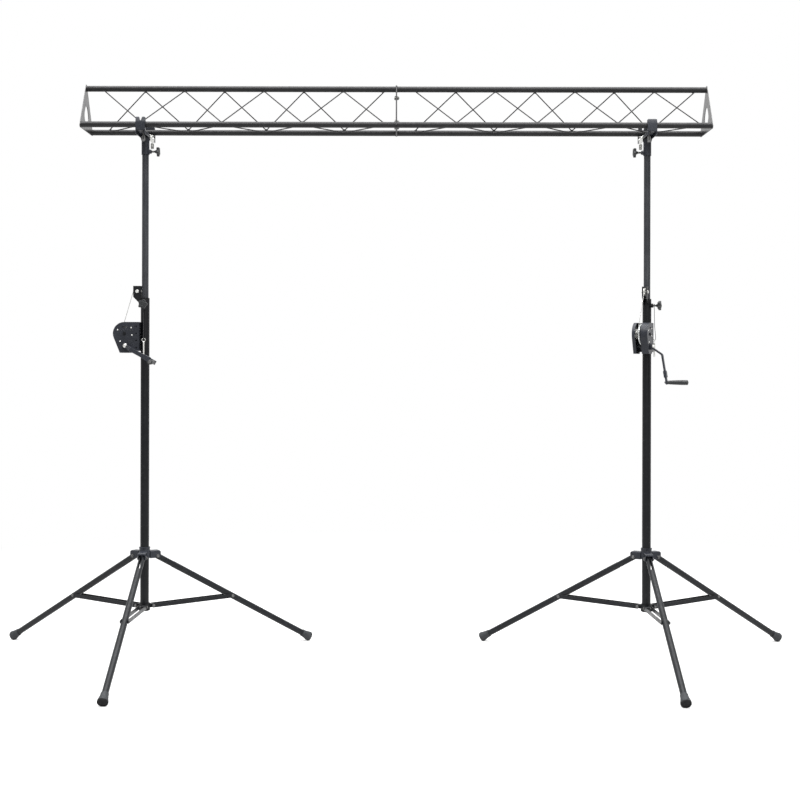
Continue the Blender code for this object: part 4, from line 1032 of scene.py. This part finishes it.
def brace(side, index):
    """Two flat bars from the collar to the leg, and the bolts they turn on."""
    out = LEG_PIVOT[0] + BRACE_ON_LEG * math.sin(LEG_ANGLE) - BRACE_PIVOT[0]
    up = LEG_PIVOT[1] - BRACE_ON_LEG * math.cos(LEG_ANGLE) - BRACE_PIVOT[1]
    length = math.hypot(out, up)
    lean = Matrix.Rotation(-math.atan2(up, out), 4, "Y")
    pivot = shift(BRACE_PIVOT[0], 0, BRACE_PIVOT[1])
    place = about_mast(side, LEG_AZIMUTHS[index]) @ pivot @ lean
    inner = LEG_RADIUS + GAP
    outer = inner + BRACE_BAR
    half = BRACE_HEIGHT / 2
    outline = [*arc((length, 0), half, -90, 90, 12), *arc((0, 0), half, 90, 270, 12)]
    spans = ((inner, outer), (-outer, -inner))
    bars = [(prism(outline, *span, 0.0007, 3), place @ UPRIGHT) for span in spans]
    name = f"brace_{side}_{index}"
    made(f"brace_bars_{side}_{index}", bars, "leg_paint", name, replaces=name)
    bolts = []
    for reach in (0, length):
        here = place @ shift(reach, 0, 0)
        bolts += bolted(here, outer, *BRACE_BOLT)
    bolts.append((bar((0, -outer, 0), (0, outer, 0), BOLT_RADIUS, SMALL), place))
    made(f"brace_bolts_{side}_{index}", bolts, "dark_steel", name)


def leg_pivot_bolts(side):
    """The three bolts that the legs turn on."""
    bolts = []
    for azimuth in LEG_AZIMUTHS.values():
        here = about_mast(side, azimuth) @ shift(LEG_PIVOT[0], 0, LEG_PIVOT[1])
        bolts += bolted(here, POCKET_HALF, *LEG_BOLT)
    made(f"leg_pivot_bolts_{side}", bolts, "dark_steel", f"hub_{side}")


# --- knobs ---


def star_knob(name, place, seat, radius, thickness, tip):
    """Moulded star knob with a domed cap and its threaded steel stem; +Z points out of the tube."""
    head = bmesh.new()
    bmesh.ops.create_circle(head, cap_ends=True, segments=KNOB_LOBES * KNOB_LOBE_SIDES, radius=1)
    depth = radius * 0.12
    for vert in head.verts:
        wave = math.cos(KNOB_LOBES * math.atan2(vert.co.y, vert.co.x))
        vert.co *= radius * 0.99 - depth * (1 - wave) * (1 + 0.25 * (1 - abs(wave)))
    pulled(head, thickness - 0.0012)
    eased(head, radius * 0.11, 4, math.radians(70))
    cap = [(0, -0.004), (radius * 0.50, -0.004), (radius * 0.50, -0.0007)]
    cap += [(radius * 0.46, -0.0001), (radius * 0.40, -0.0003), (radius * 0.36, -0.0012)]
    cap.append((0, -0.0002))
    stem = KNOB_STEM_RADIUS
    neck = [(0, -0.009), (stem * 1.28, -0.009), (stem * 1.34, -0.0082), (stem * 1.45, -0.0050)]
    neck += [(stem * 2.1, -0.0008), (stem * 2.4, 0.0008), (0, 0.0008)]
    shapes = [
        (head, place @ shift(0, 0, seat)),
        (turning(lifted(cap, seat + thickness)), place),
        (turning(lifted(neck, seat)), place),
    ]
    plastic = "black_plastic"
    made(f"{name}_star", shapes, plastic, name, KNOB_CREASE, name)
    root = seat - 0.008
    threads = [(0, tip), *thread(stem, tip, root, KNOB_STEM_PITCH), (0, root)]
    made(f"{name}_stem", [(turning(threads, COARSE), place)], "dull_zinc", name)


def knobs(side):
    """A stand's knobs: on the outer mast, on the truss head and on the leg hub."""
    for knob, turn, height, facing, size, tube in (
        ("mast_knob", UPPER_TURN[side], MAST_KNOB_Z, UPRIGHT, UPPER_KNOB, INNER_RADIUS),
        ("head_knob", HEAD_TURN[side], HEAD_KNOB_Z, SIDEWAYS, UPPER_KNOB, INNER_RADIUS),
        ("hub_knob", 0, HUB_MIDDLE_Z, BACKWARD, HUB_KNOB, OUTER_RADIUS),
    ):
        place = about_mast(side, turn) @ shift(0, 0, height) @ facing
        star_knob(f"{knob}_{side}", place, *size, tube + 2 * GAP)


# --- pulley, winch and crank ---


def pulley(side):
    """Grooved wheel on its bolt, between the bracket's cheeks."""
    axle = upper_at(side, *PULLEY_PLACE)
    groove = PULLEY_WRAP_RADIUS - CABLE_RADIUS - GAP
    wheel = [(0.0043, 0.0074), (0.0088, 0.0074), (0.0088, 0.0046), (0.0125, 0.0040)]
    wheel += [(0.0165, 0.0044), (0.0185, 0.0050), (PULLEY_RIM, 0.0046), (PULLEY_RIM, 0.0038)]
    hollow = [
        (groove + 0.0012 * (1 - math.cos(angle)), 0.0013 * math.sin(angle))
        for angle in (1.3, 0.7, 0, -0.7, -1.3)
    ]
    wheel += hollow + [(radius, -height) for radius, height in reversed(wheel)]
    body = f"pulley_{side}"
    shapes = [(turning(wheel, FINE), axle @ UPRIGHT)]
    made(f"pulley_wheel_{side}", shapes, "zinc", body, replaces=body)
    bolt = [(bar((0, -PULLEY_CHEEK, 0), (0, PULLEY_CHEEK, 0), BOLT_RADIUS, SMALL), axle)]
    bolt += bolted(axle, PULLEY_CHEEK + GAP, *PULLEY_BOLT)
    made(f"pulley_bolt_{side}", bolt, "zinc", body)


def cable(side):
    """Wire rope from the drum over the pulley and down inside the mast."""
    drum_wrap = DRUM_RADIUS + CABLE_RADIUS + GAP
    across = Vector(PULLEY_PLACE) - Vector(DRUM_AXIS)
    lean = math.degrees(math.atan2(across.y, across.x))
    slant = math.degrees(math.asin((drum_wrap - PULLEY_WRAP_RADIUS) / across.length))
    leave = lean + 90 + slant
    on_drum = arc(DRUM_AXIS, drum_wrap, leave + 70, leave, 16)
    wrap = arc(PULLEY_PLACE, PULLEY_WRAP_RADIUS, leave, 0, 28)
    route = [(point.x, DRUM_CABLE_Y, point.y) for point in on_drum]
    route += [(point.x, 0, point.y) for point in wrap]
    route.append((wrap[-1].x, 0, INNER_FOOT_Z + 0.005))
    place = about_mast(side, UPPER_TURN[side])
    points = [place @ Vector(point) for point in route]
    steel = "steel_cable"
    rope = curve_piece(f"wire_rope_{side}", points, CABLE_RADIUS, steel, f"{side}_mast")
    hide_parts(f"cable_{side}")


def rope_winding(side):
    """The rope's turns on the drum."""
    place = upper_at(side, *DRUM_AXIS)
    steps = WINDING_TURNS * WINDING_STEPS
    first, last = WINDING_SPAN
    reach = DRUM_RADIUS + GAP
    points = []
    for step in range(steps + 1):
        angle = math.tau * step / WINDING_STEPS
        y = first + (last - first) * step / steps
        points.append(place @ Vector((reach * math.cos(angle), y, reach * math.sin(angle))))
    steel = "steel_cable"
    curve_piece(f"rope_winding_{side}", points, CABLE_RADIUS, steel, f"drum_{side}", 2)


def winch_details(side):
    """Axle nuts and rivets on the winch's sheet metal."""
    body = f"{side}_mast"
    axle = upper_at(side, *DRUM_AXIS)
    nuts = bolted(axle, WINCH_FACE, *DRUM_BOLT)
    made(f"winch_axle_nuts_{side}", nuts, "black_paint", body)
    dome = [(0, 0), (0.0034, 0), (0.0034, 0.0004), (0.0030, 0.0013), (0.0018, 0.0019), (0, 0.0021)]
    on_face = shift(0, -WINCH_FACE, 0) @ UPRIGHT
    rivets = [(turning(dome, SMALL), upper_at(side, *rivet) @ on_face) for rivet in WINCH_RIVETS]
    made(f"winch_rivets_{side}", rivets, "zinc", body)


def crank(side):
    """Bent flat arm with its clamp, on a shaft with a pinion and a bright nut."""
    body = f"crank_{side}"
    axis = upper_at(side, *CRANK_AXIS)
    arm = crank_arm_at(side)
    drawn = Matrix(((0, 0, 1, 0), (-1, 0, 0, 0), (0, -1, 0, 0), (0, 0, 0, 1)))
    end = (CRANK_END_REACH, CRANK_RADIUS + 0.010)
    path = [(CRANK_FOOT_REACH, -0.012), (CRANK_FOOT_REACH, 0.004), CRANK_BEND, end]
    half = CRANK_WIDTH / 2
    outline = strip(rounded(path, CRANK_BEND_ROUND, 8), CRANK_HALF)
    shapes = [(prism(outline, -half, half, 0.0012, 3), arm @ drawn)]
    knee, end = Vector(CRANK_BEND), Vector(end)
    ends = [knee.lerp(end, (radius - knee.y) / (end.y - knee.y)) for radius in CRANK_CLAMP]
    clamp = prism(strip(ends, CRANK_CLAMP_HALF), -half - 0.002, half + 0.002, 0.0010, 3)
    shapes.append((clamp, arm @ drawn))
    boss = [(0, 0.0378), (0.0135, 0.0378), (0.0150, 0.0390)]
    boss += [(0.0150, 0.0478), (0.0140, 0.0488), (0, 0.0488)]
    shapes.append((turning(boss), axis @ UPRIGHT))
    shaft_end = WINCH_FACE + 0.002
    shaft = bar((0, -CRANK_FOOT_REACH, 0), (0, shaft_end, 0), SHAFT_RADIUS, COARSE, 0.0005)
    shapes += [(shaft, axis), (pinion(), axis @ UPRIGHT)]
    made(f"crank_arm_{side}", shapes, "cast_paint", body, replaces=body)
    nut = at(axis @ shift(0, -CRANK_NUT_REACH, 0) @ UPRIGHT, lock_nut(*CRANK_NUT))
    made(f"crank_nut_{side}", nut, "zinc", body)


def grip_screw(side):
    """The spindle that the grip turns on, with its end screw and the nut behind the arm."""
    place = crank_arm_at(side) @ shift(0, 0, -CRANK_RADIUS)
    face = -CRANK_END_REACH - CRANK_HALF
    tip = face - GRIP_LENGTH
    shapes = [(bar((0, face + 0.002, 0), (0, tip, 0), SPINDLE_RADIUS, SMALL), place)]
    screw = [(0, 0), (0.0072, 0), (0.0072, 0.0006), (0.0060, 0.0016)]
    screw += [(0.0030, 0.0016), (0.0026, 0.0008), (0, 0.0008)]
    shapes.append((turning(screw, COARSE), place @ shift(0, tip - 2 * GAP, 0) @ UPRIGHT))
    back = shift(0, -CRANK_END_REACH + CRANK_HALF, 0) @ BACKWARD
    shapes += at(place @ back, lock_nut(*GRIP_NUT))
    made(f"grip_screw_{side}", shapes, "dark_steel", f"crank_{side}")


def pinion():
    """The crank's small gear, which meets the drum's large one."""
    module = 2 * WHEEL_RADIUS / WHEEL_TEETH
    towards = Vector(DRUM_AXIS) - Vector(CRANK_AXIS)
    phase = math.atan2(towards.y, towards.x) + math.pi / PINION_TEETH
    root = module * (PINION_TEETH / 2 - 0.95)
    tip = module * (PINION_TEETH / 2 + 0.70)
    outline = []
    for tooth in range(PINION_TEETH):
        for reach, share in ((root, -0.30), (tip, -0.10), (tip, 0.10), (root, 0.30)):
            angle = phase + math.tau / PINION_TEETH * (tooth + share)
            outline.append((reach * math.cos(angle), reach * math.sin(angle)))
    return prism(outline, *PINION_SPAN, 0.0003)


def grip(side):
    """Hand grip that swells towards its end, with shallow rings."""
    seat = shift(0, -CRANK_END_REACH - CRANK_HALF - GAP, -CRANK_RADIUS)
    profile = [(0.0054, 0), (0.0084, 0), (0.0090, 0.0006), (0.0090, 0.0040), (0.0086, 0.0048)]
    for ring in range(GRIP_RINGS):
        height = GRIP_FIRST_RING + GRIP_RING_STEP * ring
        share = min(height / GRIP_LENGTH * 1.15, 1)
        reach = GRIP_NECK + GRIP_SWELL * math.sin(share * math.pi / 2)
        profile += [(reach, height), (reach + 0.0001, height + 0.0060)]
        profile += [(reach - 0.0006, height + 0.0068), (reach - 0.0006, height + 0.0074)]
    profile += [(0.0118, 0.0850), (0.0119, 0.0905), (0.0110, 0.0930)]
    profile += [(0.0096, GRIP_LENGTH), (0.0080, GRIP_LENGTH)]
    profile += [(0.0078, GRIP_LENGTH - 0.0006), (0.0054, GRIP_LENGTH - 0.0006)]
    shapes = [(turning(profile, FINE), crank_arm_at(side) @ seat @ UPRIGHT)]
    node = f"crank_grip_{side}"
    plastic = "black_plastic"
    made(f"hand_grip_{side}", shapes, plastic, f"grip_{side}", replaces=node)


# --- truss ---


def chord_places():
    """The three chords as (y, z), front, rear and top."""
    centre = mast_place("left").y
    half = CHORD_SPACING / 2
    return {
        "front": Vector((centre - half, CHORD_Z)),
        "rear": Vector((centre + half, CHORD_Z)),
        "top": Vector((centre, CHORD_Z + CHORD_SPACING * math.sqrt(3) / 2)),
    }


def truss_middle():
    return sum(chord_places().values(), Vector((0, 0))) / 3


def triangle(reach, corner):
    """A round-cornered outline with each side this far from the truss's middle."""
    middle = truss_middle()
    spread = reach / TRUSS_INRADIUS
    corners = [middle + (chord - middle) * spread for chord in chord_places().values()]
    return rounded(corners, corner, 8, True)


def truss_frames():
    """Each section's chords and their windowed end plates, of which the outer one is smoother and
    painted lighter, as a painted reflection.
    """
    outline = triangle(TRUSS_INRADIUS + END_PLATE_MARGIN, END_PLATE_CORNER)
    window = triangle(END_WINDOW_REACH, END_WINDOW_CORNER)
    for side, start, end in (
        ("left", -SECTION_LENGTH, -GAP / 2),
        ("right", GAP / 2, SECTION_LENGTH),
    ):
        plates = []
        for low in (start, end - END_PLATE):
            plate = windowed_plate(outline, window, low, low + END_PLATE, 0.0005)
            plates.append((plate, OUTWARD))
        outer, joint = plates if side == "left" else reversed(plates)
        shapes = [joint]
        for chord in chord_places().values():
            first, last = (start + END_PLATE / 2, *chord), (end - END_PLATE / 2, *chord)
            shapes.append((bar(first, last, CHORD_RADIUS, FINE), Matrix()))
        name = f"truss_section_{side}"
        made(f"truss_frame_{side}", shapes, "truss_paint", "truss", replaces=name)
        # The outer plate's lighter colour is a painted reflection
        made(f"end_plate_{side}", [outer], "plate_paint_painted_reflection", "truss")


def webs():
    """The bent rods between the chords, and the beads that weld them on."""
    chords = chord_places()
    contact = CHORD_RADIUS + WEB_ROD_RADIUS + GAP
    half_angle = math.atan(WEB_STEP / (CHORD_SPACING - 2 * contact))
    sharp = contact - WEB_BEND * (1 / math.sin(half_angle) - 1)
    paint = "truss_paint"
    beads = []
    for side, start in (("left", -SECTION_LENGTH), ("right", 0)):
        for face, (one, other) in WEB_FACES.items():
            across = (chords[other] - chords[one]).normalized()
            path = []
            for station in range(WEB_STATIONS):
                chord, inwards = (chords[other], -across) if station % 2 else (chords[one], across)
                stand_off = contact if station in (0, WEB_STATIONS - 1) else sharp
                x = start + WEB_FIRST + WEB_STEP * station
                path.append((x, *(chord + inwards * stand_off)))
                weld = (x, *(chord + inwards * CHORD_RADIUS))
                beads.append(weld_bead(weld, math.atan2(across.y, across.x), station))
            points = rounded(path, WEB_BEND, 8)
            name = f"web_rod_{face}_{side}"
            rod = curve_piece(name, points, WEB_ROD_RADIUS, paint, "truss")
            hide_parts(f"web_{face}_{side}")
    made("web_weld_beads", beads, paint, "truss", WELD_CREASE)


def weld_bead(place, lean, number):
    """One uneven bead, longest along the chord."""
    bead = bmesh.new()
    bmesh.ops.create_uvsphere(bead, u_segments=10, v_segments=6, radius=1)
    for vert in bead.verts:
        vert.co *= 1 + 0.12 * math.sin(5 * vert.co.x + 3 * vert.co.y + number * 1.7)
    bmesh.ops.scale(bead, vec=WELD_BEAD, verts=bead.verts)
    return bead, shift(*place) @ Matrix.Rotation(lean, 4, "X") @ UPRIGHT


def plate_welds():
    """A fillet of weld where each chord meets an end plate."""
    fillet = [(0.0136, 0), (0.0154, 0), (0.0152, 0.0007), (0.0146, 0.0016), (0.0141, 0.0026)]
    rings = []
    for start, facing in ((-SECTION_LENGTH, 1), (0, -1), (0, 1), (SECTION_LENGTH, -1)):
        turn = SIDEWAYS if facing > 0 else SIDEWAYS.inverted()
        for chord in chord_places().values():
            ring = turning(fillet, 40)
            for vert in ring.verts:
                angle = math.atan2(vert.co.y, vert.co.x)
                vert.co.z *= 1 + 0.18 * math.sin(17 * angle) * math.sin(3 * angle + chord.x)
            rings.append((ring, shift(start + facing * (END_PLATE + GAP / 2), *chord) @ turn))
    made("end_plate_welds", rings, "truss_paint", "truss", WELD_CREASE)


def joint_bolts():
    """The three bolts that join the two truss sections."""
    middle = truss_middle()
    face = END_PLATE + GAP / 2
    head, nut = JOINT_BOLT
    bolts = []
    for chord in chord_places().values():
        place = chord + (middle - chord).normalized() * JOINT_BOLT_INSET
        bolts += at(shift(-face, *place) @ SIDEWAYS.inverted(), bolt_head(*head))
        bolts += at(shift(face, *place) @ SIDEWAYS, lock_nut(*nut))
    made("truss_joint_bolts", bolts, "dull_zinc", "truss")


# --- truss heads and their clamp screws ---


def claw(side, top):
    """Hook over one chord, in the head's frame, with rounded edges."""
    seat = CHORD_RADIUS + GAP
    edge = seat * math.cos(HOOK_MOUTH)
    nose = rounded([(HOOK_REACH, 0.010), (0.015, top), (-HOOK_LIP, top)], 0.006, 6)
    foot_y = CHANNEL_TOP_Z - 0.002 - CHORD_Z
    outline = [
        *nose[1:-1],
        (-HOOK_LIP, top),
        *arc((0, 0), seat, 98, -38, 24),
        (edge, foot_y),
        (HOOK_REACH, foot_y),
        (HOOK_REACH, 0.006),
    ]
    y = side * CHORD_SPACING / 2
    place = Matrix(((0, 0, 1, 0), (side, 0, 0, y), (0, 1, 0, CHORD_Z), (0, 0, 0, 1)))
    return closed(moved(prism(outline, -CHANNEL_HALF, CHANNEL_HALF, 0.0018, 3), place))


def shoulder_rounded(bm, hand, top):
    """Rounds a claw's upper corner on one hand."""
    centre = (hand * (CHANNEL_HALF - HOOK_SHOULDER), CHORD_Z + top - HOOK_SHOULDER)
    angles = QUARTER if hand > 0 else [180 - angle for angle in QUARTER]
    return corner_rounded(bm, centre, HOOK_SHOULDER, angles)


def forked_claw(side):
    """The hook with a V notch in its top, which leaves two prongs."""
    notch = CHORD_Z + HOOK_NOTCH
    shapes = [sliced(claw(side, HOOK_TOP), (0, 0, notch), (0, 0, 1))]
    for hand in (-1, 1):
        prong = sliced(claw(side, HOOK_TOP), (0, 0, notch), (0, 0, -1))
        slope = (-hand * math.cos(HOOK_NOTCH_LEAN), 0, math.sin(HOOK_NOTCH_LEAN))
        sliced(prong, (hand * HOOK_NOTCH_HALF, 0, notch), slope)
        shoulder_rounded(prong, hand, HOOK_TOP)
        shapes.append(eased(prong, 0.0008, 2, HOOK_CREASE))
    return shapes


def truss_head(side):
    """Sleeve and cone on the mast, a folded cross channel and a claw over each lower chord."""
    place = about_mast(side, HEAD_TURN[side])
    bore = INNER_RADIUS + GAP
    wide = SLEEVE_RADIUS + 0.0006
    foot_z, cone_z, floor_z = SLEEVE_FOOT_Z, HEAD_CONE_Z, CHANNEL_FLOOR_Z
    sleeve = [(0, SLEEVE_TOP_Z), (0.0183, SLEEVE_TOP_Z), (0.0183, floor_z + 0.0030)]
    sleeve += [(0.0234, floor_z + 0.0020), (0.0232, floor_z - 0.0005), (wide, cone_z + 0.0012)]
    sleeve += [(SLEEVE_RADIUS, cone_z - 0.0010), (SLEEVE_RADIUS, foot_z + 0.0036)]
    sleeve += [(wide, foot_z + 0.0028), (wide, foot_z + 0.0008), (SLEEVE_RADIUS - 0.0002, foot_z)]
    sleeve += [(bore, foot_z), (bore, SLEEVE_ROOF_Z), (0, SLEEVE_ROOF_Z)]
    shapes = [(turning(sleeve, FINE), place)]
    half, high = CHANNEL_HALF - CHANNEL_WALL, CHANNEL_TOP_Z - CHANNEL_WALL
    hood = arch(CHANNEL_HALF, floor_z, CHANNEL_TOP_Z, *CHANNEL_CORNER)
    hollow = arch(half, floor_z, high, *HOLLOW_CORNER)[::-1]
    channel = prism(hood + hollow, -CHANNEL_REACH, CHANNEL_REACH, 0.0008)
    shapes.append((channel, place @ UPRIGHT))
    boss = [(0, 0.0165), (0.0118, 0.0165), (0.0108, 0.0205)]
    boss += [(0.0094, 0.0285), (0.0086, 0.0300), (0, 0.0300)]
    shapes.append((turning(boss), place @ shift(0, 0, HEAD_KNOB_Z) @ SIDEWAYS))
    plain = claw(1, HOOK_PLAIN_TOP)
    for hand in (-1, 1):
        shoulder_rounded(plain, hand, HOOK_PLAIN_TOP)
    shapes += [(shape, place) for shape in (*forked_claw(-1), plain)]
    name = f"head_{side}"
    body = frame["nodes"][name]["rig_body"]
    made(f"truss_head_{side}", shapes, "cast_paint", body, replaces=name)


def keeper_plate(side):
    """Zinc plate with two bolts on the side of the head's channel."""
    place = about_mast(side, HEAD_TURN[side])
    rear = 1 if HEAD_TURN[side] == 0 else -1
    near, far = KEEPER_SPAN
    low, high = CHANNEL_FLOOR_Z - 0.0145, CHANNEL_TOP_Z - 0.0014
    corners = rounded([(near, low), (far, low), (far, high), (near, high)], 0.005, 6, True)
    face = CHANNEL_HALF + 0.0002
    turn = place @ Matrix(((0, 0, 1, 0), (rear, 0, 0, 0), (0, 1, 0, 0), (0, 0, 0, 1)))
    keeper = closed(moved(prism(corners, face, face + KEEPER_THICKNESS, 0.0006), turn))
    shapes = [(keeper, Matrix())]
    for reach in (near + KEEPER_BOLT_INSET, far - KEEPER_BOLT_INSET):
        bolt = shift(face + KEEPER_THICKNESS, rear * reach, CHANNEL_FLOOR_Z + 0.009)
        shapes += at(place @ bolt @ SIDEWAYS, bolt_head(*KEEPER_BOLT))
    body = frame["nodes"][f"head_{side}"]["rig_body"]
    made(f"keeper_plate_{side}", shapes, "zinc", body)


def clamp_screw(side, letter, chord_side):
    """Threaded screw with a swivel shoe under the chord and a flat thumb tab."""
    head = about_mast(side, HEAD_TURN[side])
    seat = CHORD_Z - CHORD_RADIUS - GAP
    place = head @ shift(SCREW_OFFSET, chord_side * CHORD_SPACING / 2, seat)
    rim, foot_z = SHOE_RADIUS, -SHOE_THICKNESS
    shoe = [(0, 0), (rim * 0.55, 0), (rim * 0.6, -0.0006), (rim * 0.8, -0.0002)]
    shoe += [(rim * 0.97, -0.0002), (rim, -0.0008), (rim, foot_z + 0.0010)]
    shoe += [(rim * 0.9, foot_z), (0, foot_z)]
    threads = thread(SCREW_RADIUS, -SCREW_DROP, foot_z, SCREW_PITCH)
    stem = turning([(0, -SCREW_DROP), *threads, (0, foot_z)], COARSE)
    width, depth, height = TAB_SIZE
    half, low = width / 2, -SCREW_DROP - height + TAB_LAP
    corners = [(-half, low), (half, low), (half, low + height), (-half, low + height)]
    tab = prism(rounded(corners, 0.004, 6, True), -depth / 2, depth / 2, 0.0006, 3)
    shapes = [(turning(shoe), place), (stem, place), (tab, place @ UPRIGHT)]
    name = f"clamp_screw_{side}_{letter}"
    # The screw on the camera's side is drawn in dark steel, a darker copy of the zinc screw as
    # painted shade
    front = chord_side == (-1 if HEAD_TURN[side] == 0 else 1)
    finish = "dark_steel" if front else "zinc"
    made(f"thumb_screw_{side}_{letter}", shapes, finish, name, replaces=name)


# --- everything ---

add_camera()
add_world()
add_floor()
for name, (place, size, power) in LAMPS.items():
    add_lamp(name, place, size, power)
for side in SIDES:
    lanyard(side)
for node in frame["nodes"]:
    for start, (finish, rim) in KEPT_SHAPES.items():
        if node.startswith(start):
            softened(node, finish, rim)
for side in SIDES:
    leg_slider(side)
    for index in LEG_AZIMUTHS:
        leg(side, index)
        foot(side, index)
        brace(side, index)
    leg_pivot_bolts(side)
    knobs(side)
    pulley(side)
    cable(side)
    rope_winding(side)
    winch_details(side)
    crank(side)
    grip_screw(side)
    grip(side)
    clamp_screw(side, "a", -1)
    clamp_screw(side, "b", 1)
    truss_head(side)
    keeper_plate(side)
truss_frames()
webs()
plate_welds()
joint_bolts()

bpy.context.scene.view_settings.view_transform = "Standard"
